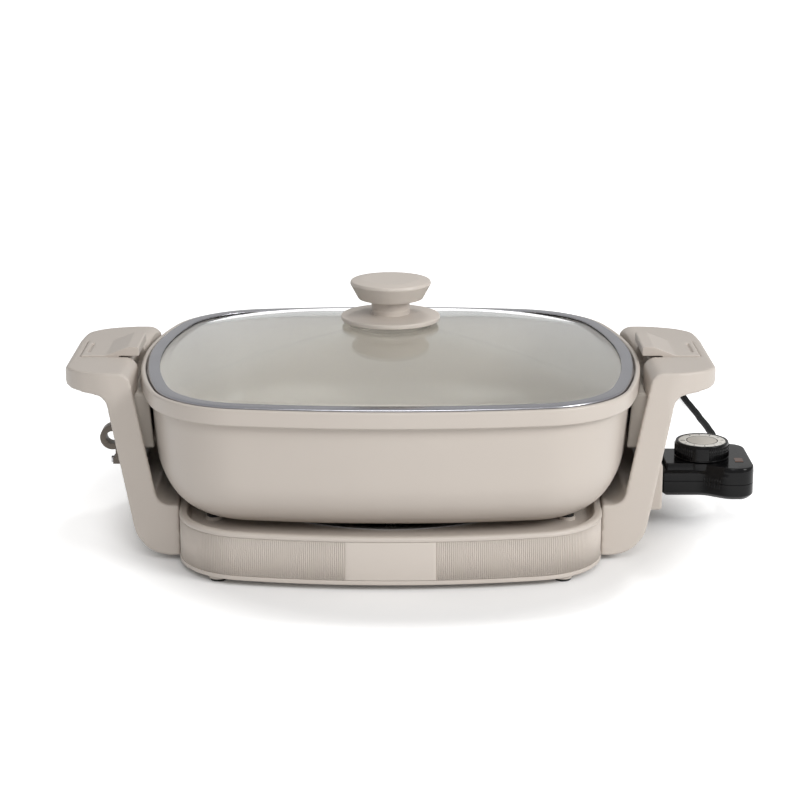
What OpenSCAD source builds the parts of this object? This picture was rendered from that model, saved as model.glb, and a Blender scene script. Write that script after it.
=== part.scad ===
// Electric skillet: a lift-out pan with a glass lid, in a heated base with two handled arms,
// and a plug-in heat controller on a cord. Millimetres, +Z up, front at -Y, controller at +X.
// The origin is on the table, below the middle of the pan.

/* [Pan] */
// Width of the pan over its rim, side to side
pan_w = 358; // [320:1:400]
// Depth of the pan over its rim, front to back
pan_d = 317; // [290:1:360]
// Height of the pan from its underside to the top of its rim
pan_h = 90; // [80:1:110]
// Corner radius of the rim in plan
pan_corner_r = 75; // [68:1:90]
// How far the side walls bow out past the corners
pan_side_bow = 11; // [5:0.5:14]
// How far the front and back walls bow out past the corners
pan_front_bow = 7; // [3:0.5:12]
// Thickness of the pan's wall and floor
pan_wall = 3.5; // [2.5:0.1:4.5]
// Radius between the pan's wall and its bottom
pan_bottom_r = 40; // [30:1:45]
// Draft of the pan's wall from upright, in degrees
pan_draft = 6; // [3:0.5:8]
// Height of the band round the pan's rim
rim_band_h = 11.3; // [9:0.1:14]
// How far that band stands proud of the wall
rim_band_t = 3.5; // [2.5:0.1:4.5]
// Depth of the lid's ledge below the top of the rim
ledge_depth = 5; // [4:0.1:7]
// Width of the lid's ledge
ledge_w = 3.8; // [3:0.1:6]

/* [Lid] */
// Width of the steel strip round the glass, seen from above
lid_rim_w = 9; // [7:0.1:12]
// Thickness of the glass
glass_t = 3.6; // [3:0.1:5]
// Thickness of the steel strip's sheet
strip_t = 1; // [0.6:0.1:1.5]
// Rise of the glass from its edge to its middle
dome_rise = 26; // [15:0.5:35]
// Largest diameter of the knob
knob_d = 58.7; // [45:0.1:70]
// Height of the knob above its flange
knob_h = 25.5; // [20:0.5:35]
// Diameter of the knob's neck
knob_neck_d = 27.6; // [20:0.1:36]
// Diameter of the knob's flange
flange_d = 71.8; // [60:0.1:85]
// Height of the knob's flange
flange_h = 4.4; // [3:0.1:6]
// Thickness of the gasket under the flange
gasket_t = 0.8; // [0.5:0.1:1.5]
// Diameter of the knob's screw
knob_screw_d = 5; // [4:0.1:6]

/* [Base] */
// Height of the rubber feet below the base
foot_h = 4.2; // [3:0.1:8]
// Diameter of the rubber feet
foot_d = 14; // [10:0.5:18]
// Height of the base from its underside to its top lip
base_h = 33.8; // [32:0.1:42]
// Corner radius of the base in plan
base_corner_r = 54; // [48:1:62]
// How far the base's sides bow out past its corners
base_side_bow = 3; // [1:0.5:5]
// How far the base's front and back bow out past its corners
base_front_bow = 9; // [5:0.5:12]
// Thickness of the base's wall
base_wall = 3; // [2:0.1:3.6]
// Depth of the dish below the top lip
dish_depth = 5; // [4:0.1:7]
// Width of the rounded top lip
lip_w = 6; // [5.5:0.1:8]
// Gap between the pan's bottom edge and the lip at the sides
seat_side_gap = 4; // [3:0.5:8]
// Gap between the pan's bottom edge and the lip in front and behind
seat_front_gap = 24; // [18:0.5:28]
// How far the pan's bottom stands below the top lip
pan_sink = 1; // [0.5:0.1:1.5]
// Width of the dish from the base's outside to the opening over the heater
dish_w = 34; // [30:0.5:38]
// Height of the smooth lips above and below the ribbed band
band_lip_h = 3.2; // [2.5:0.1:5]
// Depth of the ribbed band's recess
band_t = 1.6; // [1.2:0.1:2]
// Distance between the band's ribs
rib_pitch = 1.4; // [1.2:0.1:3]
// Width of the bare plaque in the middle of the front band
plaque_w = 62; // [40:1:90]
// Diameter of the pads under the pan
pad_d = 10; // [8:0.5:14]
// Thickness of the bottom plate
plate_t = 2.5; // [2:0.1:3]

/* [Heater] */
// Diameter of the heating element's tube
element_d = 6.6; // [5:0.1:8]
// Radius of the heating element's ring
element_ring_r = 88; // [75:1:92]
// Gap between the element and the pan
element_gap = 1.2; // [0.5:0.1:2]
// Thickness of the heat shield's sheet
shield_t = 0.8; // [0.5:0.1:1.2]
// Depth of the heat shield below the dish
shield_depth = 11; // [10:0.1:12]
// Diameter of the two terminal pins
pin_d = 4.5; // [3.5:0.1:5]
// Distance between the terminal pins
pin_spacing = 24; // [20:0.5:28]
// Height of the pins and the probe above the base's underside
probe_rise = 21.8; // [20:0.1:22.5]

/* [Arms] */
// Gap between the pan's rim and the handles
arm_clear = 2.5; // [1.5:0.1:4]
// Reach of a handle from the pan's rim outwards
handle_reach = 48; // [40:0.5:60]
// Height of the handle tops above the rim
handle_rise = 4.5; // [2:0.1:8]
// Thickness of a handle at its root
handle_t = 17; // [15.5:0.1:20]
// Thickness of a handle at its tip
handle_tip_t = 13.2; // [11:0.1:15]
// Thickness of the leg below the handle
leg_t = 17; // [14:0.5:20]
// How far the leg's outer foot stands out from the base
foot_reach = 25; // [20:0.5:32]
// Half the depth of an arm at its top
arm_top_half = 72; // [60:1:80]
// Half the depth of an arm at its bottom
arm_bottom_half = 88; // [82:1:92]
// Half the depth of a handle at its tip
handle_tip_half = 61; // [50:1:66]
// Wall of the arm's moulding
arm_wall = 3; // [2.4:0.1:4]
// Depth at which the liner panel is let in behind the leg's inner edge
liner_inset = 0.8; // [0.5:0.1:2]
// Gap between the liner panel and the pan's wall
liner_gap = 2.8; // [2:0.1:4]
// Thickness of the liner panel
liner_t = 2.5; // [2:0.1:3]
// Height of the liner panel's lower edge above the table
liner_low_z = 76; // [74:1:85]
// Half the width of a latch
latch_half = 23.5; // [18:0.5:28]
// Depth of the latch's pocket in the handle
pocket_depth = 4; // [3:0.1:5]
// How far a latch slides
latch_travel = 5.5; // [4:0.1:6]
// Gap between an open latch and the pan's rim
latch_gap = 0.8; // [0.5:0.1:1.5]
// Thickness of the latch's tongue
tongue_t = 6.7; // [5:0.1:7.5]

/* [Clip] */
// Outer diameter of the cord clip's loop
clip_d = 18; // [16:0.1:22]
// Diameter of the hole in the cord clip
clip_hole_d = 9.6; // [8:0.1:11]
// Width of the cord clip's band
clip_w = 11; // [8:0.5:14]
// Height of the cord clip's loop above the table
clip_z = 66; // [60:0.5:75]

/* [Controller] */
// Half the width of the controller's neck
neck_half = 22.5; // [19:0.5:24]
// Half the width of the controller's outer end
end_half = 33; // [30:0.5:44]
// Length of the controller's case outside the shroud
case_l = 66; // [62:0.5:85]
// Length of the wide outer end
end_l = 29; // [26:0.5:32]
// Height of the controller's lower case
lower_h = 11.5; // [9:0.5:14]
// Height of the controller's upper case
upper_h = 12.5; // [10:0.5:16]
// Wall of the controller's case
case_wall = 2.2; // [1.6:0.1:3]
// Bevel round the top of the case
case_bevel = 5; // [3:0.1:6]
// Diameter of the dial
dial_d = 40; // [32:0.5:42]
// Height of the dial
dial_h = 11.8; // [9:0.1:16]
// Flutes round the dial
dial_flutes = 72; // [48:1:80]
// Width of the rim round the dial's plate
dial_rim_w = 2.8; // [2:0.1:4]
// Diameter of the dial's shaft
shaft_d = 6; // [5:0.1:8]
// Length of the probe beyond its nose
probe_l = 58; // [45:1:60]
// Diameter of the probe
probe_d = 6; // [5:0.1:7]

/* [Cord] */
// Diameter of the cord
cord_d = 5.6; // [5:0.1:5.8]
// Loops in the coil
coil_loops = 2; // [2:2:4]
// Length of the strain relief
relief_l = 28; // [22:1:30]

/* [Hidden] */

$fn = 64;
greige = [0.74, 0.70, 0.65];
pale = [0.82, 0.79, 0.75];
steel = [0.75, 0.75, 0.77];
black = [0.05, 0.05, 0.05];
graphite = [0.16, 0.16, 0.17];

// Clearances: between bodies that lift apart, between fixed pieces, and of sliding pieces
lift_gap = 0.3;
seat_gap = 0.1;
slide_gap = 0.5;
shaft_gap = 0.08;
// Cutting tools run this far past the face that they open
over = 1;

// Steps of the side, corner and front stretches in a quarter of a bowed outline
side_steps = 4;
corner_steps = 7;
front_steps = 5;

function unit(v) = v / norm(v);

// A bowed outline is [half width, half depth, corner radius, side bow, front bow]. Each stretch is
// an arc, tangent to the next, so an outline set out by t has the same centres and longer radii.
function corner_x(o) = o[0] - o[3] - o[2];
function corner_y(o) = o[1] - o[4] - o[2];
function side_r(o) = (corner_y(o)^2 + (o[0] - corner_x(o))^2 - o[2]^2) / (2 * o[3]);
function front_r(o) = (corner_x(o)^2 + (o[1] - corner_y(o))^2 - o[2]^2) / (2 * o[4]);
function side_end(o) = atan2(corner_y(o), corner_x(o) - o[0] + side_r(o));
function front_start(o) = atan2(corner_y(o) - o[1] + front_r(o), corner_x(o));
function outline_point(o, a, t) =
    a < side_end(o) ? [o[0] - side_r(o), 0] + (side_r(o) + t) * [cos(a), sin(a)]
    : a < front_start(o) ? [corner_x(o), corner_y(o)] + (o[2] + t) * [cos(a), sin(a)]
    : [0, o[1] - front_r(o)] + (front_r(o) + t) * [cos(a), sin(a)];
// Half width of an outline, set out by t, at the distance y from its middle
function half_width_at(o, t, y) = o[0] - side_r(o) + sqrt((side_r(o) + t)^2 - y^2);
function quarter_angles(o) = let (a = side_end(o), b = front_start(o)) concat(
    [for (i = [0:side_steps - 1]) a * i / side_steps],
    [for (i = [0:corner_steps - 1]) a + (b - a) * i / corner_steps],
    [for (i = [0:front_steps]) b + (90 - b) * i / front_steps]);
function outline(o, t) =
    let (q = [for (a = quarter_angles(o)) outline_point(o, a, t)], n = len(q) - 1) concat(
        [for (i = [0:n - 1]) q[i]],
        [for (i = [n:-1:1]) [-q[i][0], q[i][1]]],
        [for (i = [0:n - 1]) -q[i]],
        [for (i = [n:-1:1]) [q[i][0], -q[i][1]]]);

// Rings at a height, set out by t or drawn in to a share of the outline
function ring_at(o, t, z) = [for (p = outline(o, t)) [p[0], p[1], z]];
function shrunk_ring(o, t, s, z) = [for (p = outline(o, t)) [p[0] * s, p[1] * s, z]];
function profile_rings(o, profile) = [for (p = profile) ring_at(o, p[0], p[1])];

// One closed skin over a row of rings. A looped row is a frame with no ends.
module loft(rings, looped = false) {
    n = len(rings[0]);
    m = len(rings);
    sides = [for (i = [0:(looped ? m : m - 1) - 1], j = [0:n - 1])
        let (a = i * n + j, b = i * n + (j + 1) % n,
             c = ((i + 1) % m) * n + (j + 1) % n, d = ((i + 1) % m) * n + j)
        each [[a, d, c], [a, c, b]]];
    ends = looped ? [] : [[for (j = [0:n - 1]) j], [for (j = [n - 1:-1:0]) (m - 1) * n + j]];
    polyhedron(points = [for (r = rings) each r], faces = concat(sides, ends), convexity = 10);
}

// A flat outline given as [x, y, corner radius], with its corners rounded
function corner_arc(a, b, c, r, n) = r == 0 ? [b] :
    let (u = unit(a - b), v = unit(c - b), half = acos(u * v) / 2,
         centre = b + unit(u + v) * r / sin(half),
         p = b + u * r / tan(half) - centre, q = b + v * r / tan(half) - centre,
         from = atan2(p[1], p[0]),
         sweep = (atan2(q[1], q[0]) - from + 540) % 360 - 180)
    [for (k = [0:n]) centre + r * [cos(from + sweep * k / n), sin(from + sweep * k / n)]];
function flat(p) = [p[0], p[1]];
function rounded(pts, n = 6) = let (m = len(pts)) [for (i = [0:m - 1])
    each corner_arc(flat(pts[(i + m - 1) % m]), flat(pts[i]), flat(pts[(i + 1) % m]), pts[i][2], n)];
// A profile drawn in X and Z, as deep as it is told to either side of Y = 0
module side_profile(pts, half) {
    translate([0, half, 0]) rotate([90, 0, 0]) linear_extrude(2 * half) polygon(pts);
}
module rod_x(x0, x1, y, z, d) {
    translate([x0, y, z]) rotate([0, 90, 0]) cylinder(d = d, h = x1 - x0);
}
module box(low, high) {
    translate(low) cube(high - low);
}
module left_side() {
    mirror([1, 0, 0]) children();
}

// A round tube swept through points
function tube_ring(path, i, r, sides) =
    let (t = unit(path[min(i + 1, len(path) - 1)] - path[max(i - 1, 0)]),
         s = unit(cross(t, [0, 0, 1])), u = cross(s, t))
    [for (k = [0:sides - 1]) path[i] + r * (cos(360 * k / sides) * u + sin(360 * k / sides) * s)];
module tube(path, d, sides) {
    loft([for (i = [0:len(path) - 1]) tube_ring(path, i, d / 2, sides)]);
}
// Points along a smooth curve through the route's own points
function curve_point(p, i, f) =
    let (n = len(p) - 1, a = p[max(i - 1, 0)], b = p[i], c = p[min(i + 1, n)], d = p[min(i + 2, n)])
    0.5 * (2 * b + (c - a) * f + (2 * a - 5 * b + 4 * c - d) * f^2 + (3 * b - a - 3 * c + d) * f^3);
function smooth(p, steps) = concat(
    [for (i = [0:len(p) - 2], k = [0:steps - 1]) curve_point(p, i, k / steps)], [p[len(p) - 1]]);
function path_length(p) = let (d = [for (i = [1:len(p) - 1]) norm(p[i] - p[i - 1])]) d * [for (x = d) 1];

// Heights
base_top_z = foot_h + base_h;
pan_z = base_top_z - pan_sink;
rim_z = pan_z + pan_h;
ledge_z = rim_z - ledge_depth;
band_under_z = rim_z - rim_band_h;
dish_z = base_top_z - dish_depth;
handle_z = rim_z + handle_rise;
probe_z = foot_h + probe_rise;

// The pan's section, as offsets from its rim outline. The wall runs straight from under the band
// to the bottom radius.
pan_o = [pan_w / 2, pan_d / 2, pan_corner_r, pan_side_bow, pan_front_bow];
bottom_z = pan_z + pan_bottom_r;
wall_foot_z = bottom_z - pan_bottom_r * sin(pan_draft);
bottom_t = -rim_band_t - (band_under_z - wall_foot_z) * tan(pan_draft) - pan_bottom_r * cos(pan_draft);
bottom_steps = 5;
function bottom_arc(r) = [for (k = [0:bottom_steps])
    let (a = -90 + (90 - pan_draft) * k / bottom_steps) [bottom_t + r * cos(a), bottom_z + r * sin(a)]];
function reversed(v) = [for (i = [len(v) - 1:-1:0]) v[i]];
rim_round = 1;
lid_seat_t = -rim_band_t;
inner_wall_t = lid_seat_t - ledge_w;
// Half width and depth of the pan where it dips below the lip
dip_t = bottom_t + sqrt(pan_bottom_r^2 - (pan_bottom_r - pan_sink)^2);

// The base's outline follows the pan's bottom edge
base_o = [pan_w / 2 + dip_t + seat_side_gap + lip_w, pan_d / 2 + dip_t + seat_front_gap + lip_w,
          base_corner_r, base_side_bow, base_front_bow];
base_inner_t = -band_t - base_wall;
dish_floor_t = 2.5;
band_low_z = foot_h + band_lip_h;
band_high_z = base_top_z - band_lip_h;

module pan() color(greige) loft(profile_rings(pan_o, concat(
    bottom_arc(pan_bottom_r),
    [[-rim_band_t, band_under_z], [-rim_round, band_under_z], [0, band_under_z + rim_round],
     [0, rim_z - rim_round], [-rim_round, rim_z], [lid_seat_t + rim_round / 2, rim_z],
     [lid_seat_t, rim_z - rim_round / 2], [lid_seat_t, ledge_z], [inner_wall_t, ledge_z]],
    reversed(bottom_arc(pan_bottom_r - pan_wall)))));

// Lid
lid_gap = 0.8;
lid_t = lid_seat_t - lid_gap;
lid_low_z = ledge_z + lift_gap;
slot_z = lid_low_z + strip_t + seat_gap;
glass_t0 = lid_t - strip_t - seat_gap;
glass_edge_z = slot_z + seat_gap;
glass_hole_share = 0.024;
flat_share = 0.943;
dome_shares = [flat_share, 0.89, 0.8, 0.66, 0.5, 0.33, 0.16, glass_hole_share];
function dome_z(s) = dome_rise * (1 - pow(min(s / flat_share, 1), 2.2));
lid_top_z = glass_edge_z + glass_t + dome_rise;

module lid_glass() color([0.85, 0.9, 0.92, 0.35]) loft(concat(
    [shrunk_ring(pan_o, glass_t0, 1, glass_edge_z), shrunk_ring(pan_o, glass_t0, 1, glass_edge_z + glass_t)],
    [for (s = dome_shares) shrunk_ring(pan_o, glass_t0, s, glass_edge_z + glass_t + dome_z(s))],
    [for (s = reversed(dome_shares)) shrunk_ring(pan_o, glass_t0, s, glass_edge_z + dome_z(s))]), true);

module lid_rim() {
    top_z = glass_edge_z + glass_t + seat_gap;
    foot_t = inner_wall_t + lid_gap / 2;
    inner_t = lid_t - lid_rim_w;
    color(steel) loft(profile_rings(pan_o, [
        [lid_t, lid_low_z + strip_t / 2], [lid_t, top_z], [lid_t - strip_t / 2, top_z + strip_t * 0.8],
        [lid_t - strip_t * 2, top_z + strip_t], [inner_t, top_z + strip_t], [inner_t, top_z],
        [glass_t0 + seat_gap, top_z], [glass_t0 + seat_gap, slot_z], [inner_t, slot_z],
        [inner_t, slot_z - strip_t / 2], [foot_t, lid_low_z], [lid_t - strip_t / 2, lid_low_z]]), true);
}

// Knob: a waisted grip on a flange, screwed through the glass from below
gasket_d = flange_d - 12;
flange_z = lid_top_z + gasket_t;
knob_z = flange_z + flange_h;
knob_top_z = knob_z + knob_h;
knob_bore_l = knob_h - 5;
screw_head_h = 3;

module knob() {
    grip_low_r = knob_d / 2 - 6;
    grip_z = knob_z + knob_h * 0.44;
    color(greige) rotate_extrude() difference() {
        polygon([
            [0, knob_z], [knob_neck_d / 2 + 1.6, knob_z], [knob_neck_d / 2 + 1.6, knob_z + 1],
            [knob_neck_d / 2, knob_z + 2.2], [knob_neck_d / 2, grip_z], [grip_low_r, grip_z],
            [grip_low_r + 1, grip_z + 0.8], [knob_d / 2 - 0.4, knob_top_z - 4], [knob_d / 2, knob_top_z - 3],
            [knob_d / 2 - 0.5, knob_top_z - 1.8], [knob_d / 2 - 2, knob_top_z - 0.7],
            [knob_d / 2 - 9, knob_top_z], [0, knob_top_z]]);
        translate([0, knob_z - over]) square([knob_screw_d / 2 + seat_gap, knob_bore_l + over]);
    }
}
module knob_base() color(greige) rotate_extrude() difference() {
    polygon([[0, flange_z], [flange_d / 2 - 1, flange_z], [flange_d / 2, flange_z + 1],
             [flange_d / 2, flange_z + flange_h - 1.6], [flange_d / 2 - 1.4, flange_z + flange_h - 0.4],
             [knob_neck_d / 2 + 8, knob_z], [0, knob_z]]);
    translate([0, flange_z - over]) square([knob_screw_d / 2 + seat_gap, flange_h + 2 * over]);
}
module knob_gasket() color(graphite) translate([0, 0, lid_top_z]) difference() {
    cylinder(d = gasket_d, h = gasket_t);
    translate([0, 0, -over]) cylinder(d = knob_screw_d + 2 * seat_gap, h = gasket_t + 2 * over);
}
module knob_screw() color(steel) {
    under_z = lid_top_z - glass_t - seat_gap;
    translate([0, 0, under_z - screw_head_h]) cylinder(d = 2.4 * knob_screw_d, h = screw_head_h);
    translate([0, 0, under_z - over]) cylinder(d = knob_screw_d, h = knob_z + knob_bore_l - 2 - under_z + over);
}

// Base housing, with its screw bosses and the holes in its sides
boss_d = 9;
pilot_d = 3;
screw_d = 3.4;
boss_at = [for (x = [-1, 1], y = [-1, 1])
    [x * (base_o[0] - dish_w + 8), y * (corner_y(base_o) - 28)]];
arm_screw_y = arm_bottom_half - 24;
arm_screw_z = foot_h + base_h * 0.42;
// The heads stand on the bowed inside of the wall, which is nearest at their outer edge
arm_screw_x = half_width_at(base_o, base_inner_t, arm_screw_y + 3.2) - seat_gap;
// The opening over the heater is round
dish_hole_r = min(base_o[0], base_o[1]) - dish_w - 2;
round_steps = 96;
block_half = pin_spacing / 2 + 8;
block_h = 10.5;
block_z = dish_z - dish_floor_t - 3 * seat_gap - block_h;
base_side_x = base_o[0];
block_out_x = base_side_x + base_inner_t;
block_in_x = base_side_x - dish_w + 3;

module base_shell() color(greige) difference() {
    union() {
        loft(profile_rings(base_o, [
            [-lip_w - 3, dish_z - dish_floor_t], [base_inner_t, dish_z - dish_floor_t - 2],
            [base_inner_t, foot_h], [-1, foot_h], [0, foot_h + 1], [0, band_low_z],
            [-band_t, band_low_z], [-band_t, band_high_z],
            [0, band_high_z], [0, base_top_z - 1.5], [-0.8, base_top_z - 0.4], [-2.2, base_top_z],
            [1.6 - lip_w, base_top_z], [0.4 - lip_w, base_top_z - 0.6], [-lip_w - 2, dish_z]]));
        for (p = boss_at) translate([p[0], p[1], foot_h + plate_t])
            cylinder(d = boss_d, h = dish_z - foot_h - plate_t - dish_floor_t / 2);
        for (p = pad_at) translate([p[0], p[1], dish_z - dish_floor_t / 2])
            cylinder(d = pad_d + 2, h = dish_floor_t / 2 + pad_boss_h);
    }
    translate([0, 0, dish_z - dish_floor_t - over])
        cylinder(r = dish_hole_r, h = dish_floor_t + 2 * over, $fn = round_steps);
    for (p = boss_at) translate([p[0], p[1], foot_h]) cylinder(d = pilot_d, h = base_h * 0.55);
    for (x = [-1, 1], y = [-1, 1])
        rod_x(x > 0 ? base_side_x - 12 : -base_side_x - over, x > 0 ? base_side_x + over : 12 - base_side_x,
              y * arm_screw_y, arm_screw_z, screw_d + 0.4);
    box([block_out_x - 6, -block_half - seat_gap, block_z - seat_gap],
        [base_side_x + over, block_half + seat_gap, block_z + block_h + seat_gap]);
}

// Ribbed bands. The ribs follow the outline at a steady pitch, and the plaque is smooth.
rib_h = 0.55;
band_face_t = -0.3;
band_back_t = seat_gap - band_t;
// Arc lengths of a quarter, from the middle of the front to the angle where the band ends
front_arc = front_r(base_o) * (90 - front_start(base_o)) * PI / 180;
corner_arc_l = base_corner_r * (front_start(base_o) - side_end(base_o)) * PI / 180;
band_half_l = front_arc + corner_arc_l * 0.97;
function angle_along(s) = s < front_arc ? 90 - s / front_r(base_o) * 180 / PI
    : front_start(base_o) - (s - front_arc) / base_corner_r * 180 / PI;
function band_point(s, t) = let (p = outline_point(base_o, angle_along(abs(s)), t)) [sign(s) * p[0], -p[1]];
// Ribs start beside the plaque
function rib_places(half_plaque) = let (n = floor((band_half_l - half_plaque - rib_pitch) / rib_pitch))
    [for (i = [0:n - 1]) half_plaque + rib_pitch * (i + 0.5)];
function rib_row(places) = [for (s = places)
    each [[s, band_face_t - rib_h], [s + rib_pitch / 2, band_face_t]]];
function band_half(half_plaque) = concat(
    half_plaque > 0 ? [[half_plaque * 0.5, band_face_t], [half_plaque, band_face_t]] : [],
    rib_row(rib_places(half_plaque)), [[band_half_l, band_face_t - rib_h]]);
back_steps = 40;
module ribbed_band(half_plaque) {
    right = band_half(half_plaque);
    outer = concat([for (i = [len(right) - 1:-1:0]) band_point(-right[i][0], right[i][1])],
                   [for (p = right) band_point(p[0], p[1])]);
    back = [for (i = [back_steps:-1:-back_steps]) if (i != 0)
        band_point(band_half_l * i / back_steps, band_back_t)];
    translate([0, 0, band_low_z + seat_gap]) linear_extrude(band_high_z - band_low_z - 2 * seat_gap)
        polygon(concat(outer, back));
}
module front_band() color(greige) ribbed_band(plaque_w / 2);
module rear_band() color(greige) mirror([0, 1, 0]) ribbed_band(0);

// Bottom plate with a boss above each foot, and the rubber feet below
foot_angle = 57;
foot_at = [for (x = [-1, 1], y = [-1, 1])
    [x * (corner_x(base_o) + (base_corner_r - 2 - foot_d / 2) * cos(foot_angle)),
     y * (corner_y(base_o) + (base_corner_r - 2 - foot_d / 2) * sin(foot_angle))]];
foot_stem_d = 5;
foot_boss_h = foot_h * 0.55;
rubber_h = foot_h - foot_boss_h;
base_screw_l = 10;
module bottom_plate() color(greige) difference() {
    union() {
        translate([0, 0, foot_h]) linear_extrude(plate_t) polygon(outline(base_o, base_inner_t - 0.2));
        for (p = foot_at) translate([p[0], p[1], rubber_h]) {
            cylinder(d1 = foot_d - 1, d2 = foot_d, h = foot_boss_h - seat_gap);
            cylinder(d = foot_stem_d + 3, h = foot_boss_h + over);
        }
    }
    for (p = boss_at) translate([p[0], p[1], foot_h - over])
        cylinder(d = screw_d + 0.4, h = plate_t + 2 * over);
    for (p = foot_at) translate([p[0], p[1], rubber_h - over])
        cylinder(d = foot_stem_d + 2 * seat_gap, h = foot_boss_h + plate_t + 2 * over);
}
module feet() color(black) for (p = foot_at) translate([p[0], p[1], 0]) rotate_extrude()
    polygon([[0, 0], [foot_d / 2 - 1.6, 0], [foot_d / 2 - 1, 0.6], [foot_d / 2 - 1, rubber_h],
             [foot_stem_d / 2, rubber_h], [foot_stem_d / 2, foot_h + plate_t + 1], [0, foot_h + plate_t + 1]]);
module base_screws() color(steel) for (p = boss_at) translate([p[0], p[1], 0]) {
    translate([0, 0, foot_h - 1.8]) cylinder(d = 6.4, h = 1.8);
    translate([0, 0, foot_h - 0.5]) cylinder(d = pilot_d - 2 * seat_gap, h = plate_t + base_screw_l);
}

// Heater
element_z = pan_z - element_gap - element_d / 2;
shield_r = dish_hole_r - 0.4;
shield_floor_z = min(dish_z - shield_depth, probe_z - element_d / 2 - shield_t - 0.4);
shield_flange_w = 5;
lead_y = pin_spacing / 2;
ring_gap_angle = 22;
ring_step = 12;
function lead(y) = [[block_in_x, y, probe_z], [block_in_x - 8, y, probe_z], [element_ring_r + 16, y, probe_z],
    [element_ring_r + 9, y * 1.03, probe_z + (element_z - probe_z) * 0.35],
    [element_ring_r + 3, y * 1.25, probe_z + (element_z - probe_z) * 0.8],
    [element_ring_r - 0.5, y * 1.75, element_z]];
ring_points = [for (a = [ring_gap_angle + 2:ring_step:358 - ring_gap_angle])
    [element_ring_r * cos(a), element_ring_r * sin(a), element_z]];

module heat_shield() color(steel) difference() {
    rotate_extrude($fn = round_steps) polygon([
        [0, shield_floor_z], [shield_r - 3, shield_floor_z], [shield_r, shield_floor_z + 3],
        [shield_r, dish_z], [shield_r + shield_flange_w, dish_z],
        [shield_r + shield_flange_w, dish_z + shield_t], [shield_r - shield_t, dish_z + shield_t],
        [shield_r - shield_t, shield_floor_z + 3 + shield_t / 2],
        [shield_r - 3 - shield_t / 2, shield_floor_z + shield_t], [0, shield_floor_z + shield_t]]);
    for (y = [-lead_y, lead_y]) rod_x(shield_r - 8, block_in_x + 4, y, probe_z, element_d + 1.6);
    rod_x(shield_r - 8, block_in_x + 4, 0, probe_z, probe_d + 2);
}
module heating_element() color([0.35, 0.33, 0.31])
    tube(concat(lead(lead_y), ring_points, reversed(lead(-lead_y))), element_d, 10);
clip_gap = 0.15;
module element_clips() color(steel) for (a = [90, 180, 270]) rotate([0, 0, a]) translate([element_ring_r, 0, 0])
    difference() {
        box([-6, -4, shield_floor_z + shield_t], [6, 4, element_z + element_d * 0.1]);
        translate([0, 4 + over, element_z]) rotate([90, 0, 0])
            cylinder(d = element_d + 2 * clip_gap + 1.4, h = 8 + 2 * over);
    }
module terminal_block() color([0.88, 0.86, 0.82]) difference() {
    box([block_in_x, -block_half, block_z], [base_side_x - 0.5, block_half, block_z + block_h]);
    for (y = [-lead_y, lead_y])
        rod_x(block_in_x + 6, base_side_x + over, y, probe_z, pin_d + 2 * seat_gap);
    rod_x(block_in_x - over, base_side_x + over, 0, probe_z, probe_d + 1);
}
pin_out = 24;
module terminal_pins() color(steel) for (y = [-lead_y, lead_y]) {
    rod_x(block_in_x + 6, base_side_x + pin_out - 2, y, probe_z, pin_d);
    translate([base_side_x + pin_out - 2, y, probe_z]) rotate([0, 90, 0])
        cylinder(d1 = pin_d, d2 = pin_d - 1.6, h = 2);
}
// Thin pads stand on the dish's bosses where the pan's bottom edge passes over them
pad_reach = pan_corner_r + bottom_t + 6;
pad_angle = 28;
pad_boss_h = 2.2;
pad_at = [for (x = [-1, 1], y = [-1, 1])
    [x * (corner_x(pan_o) + pad_reach * cos(pad_angle)), y * (corner_y(pan_o) + pad_reach * sin(pad_angle))]];
module pan_pads() color(black) for (p = pad_at) translate([p[0], p[1], dish_z + pad_boss_h])
    cylinder(d = pad_d, h = pan_z - lift_gap - dish_z - pad_boss_h);

// Arms, drawn for the right side
arm_foot_x = base_side_x + seat_gap;
arm_in_x = pan_w / 2 + arm_clear;
handle_x = arm_in_x + handle_reach;
leg_top_z = handle_z - handle_t;
leg_out_top_x = arm_in_x + leg_t;
leg_out_low_x = base_side_x + foot_reach;
leg_in_low_x = base_side_x + 11;
arm_foot_z = base_top_z + 1.5;
// Where the leg's faces are at a height
function leg_out_x(z) = lookup(z, [[foot_h, leg_out_low_x], [leg_top_z, leg_out_top_x]]);
function leg_in_x(z) = lookup(z, [[arm_foot_z, leg_in_low_x], [handle_z, arm_in_x - 1]]);
function arm_half_at(z) = lookup(z, [[foot_h, arm_bottom_half], [handle_z, arm_top_half]]);
function handle_under_z(x) = lookup(x, [[leg_out_top_x, leg_top_z], [handle_x, handle_z - handle_tip_t]]);
arm_outline = rounded([
    [arm_in_x - 1, handle_z, 9], [handle_x, handle_z, 5], [handle_x, handle_z - handle_tip_t, 3],
    [leg_out_top_x, leg_top_z, 9], [leg_out_low_x, foot_h, 26], [arm_foot_x - 8, foot_h, 0],
    [arm_foot_x - 8, arm_foot_z, 0], [leg_in_low_x, arm_foot_z, 10]]);
handle_corner_r = 28;
cavity_low_z = base_top_z + 10;
cavity_high_z = leg_top_z - 1;
bay_half = 34;
bay_in_x = arm_in_x + 7.5;
pocket_z = handle_z - pocket_depth;
pocket_floor_t = 3;
bay_z = pocket_z - pocket_floor_t;

// Latch places, at rest in the open position
latch_tip_x = pan_w / 2 + latch_gap;
latch_end_x = handle_x - 8;
latch_body_x = arm_in_x + 7 + latch_travel + slide_gap;
stem_x = latch_body_x + 4;
stem_l = 8;
stem_half = 5;
keeper_t = 2.6;
tongue_z = handle_z + 0.3;
plate_rise = 0.9;
// Finger slot near the latch's outer end
slot_half = 13.5;
slot_w = 2;
slot_depth = 1.6;

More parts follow.
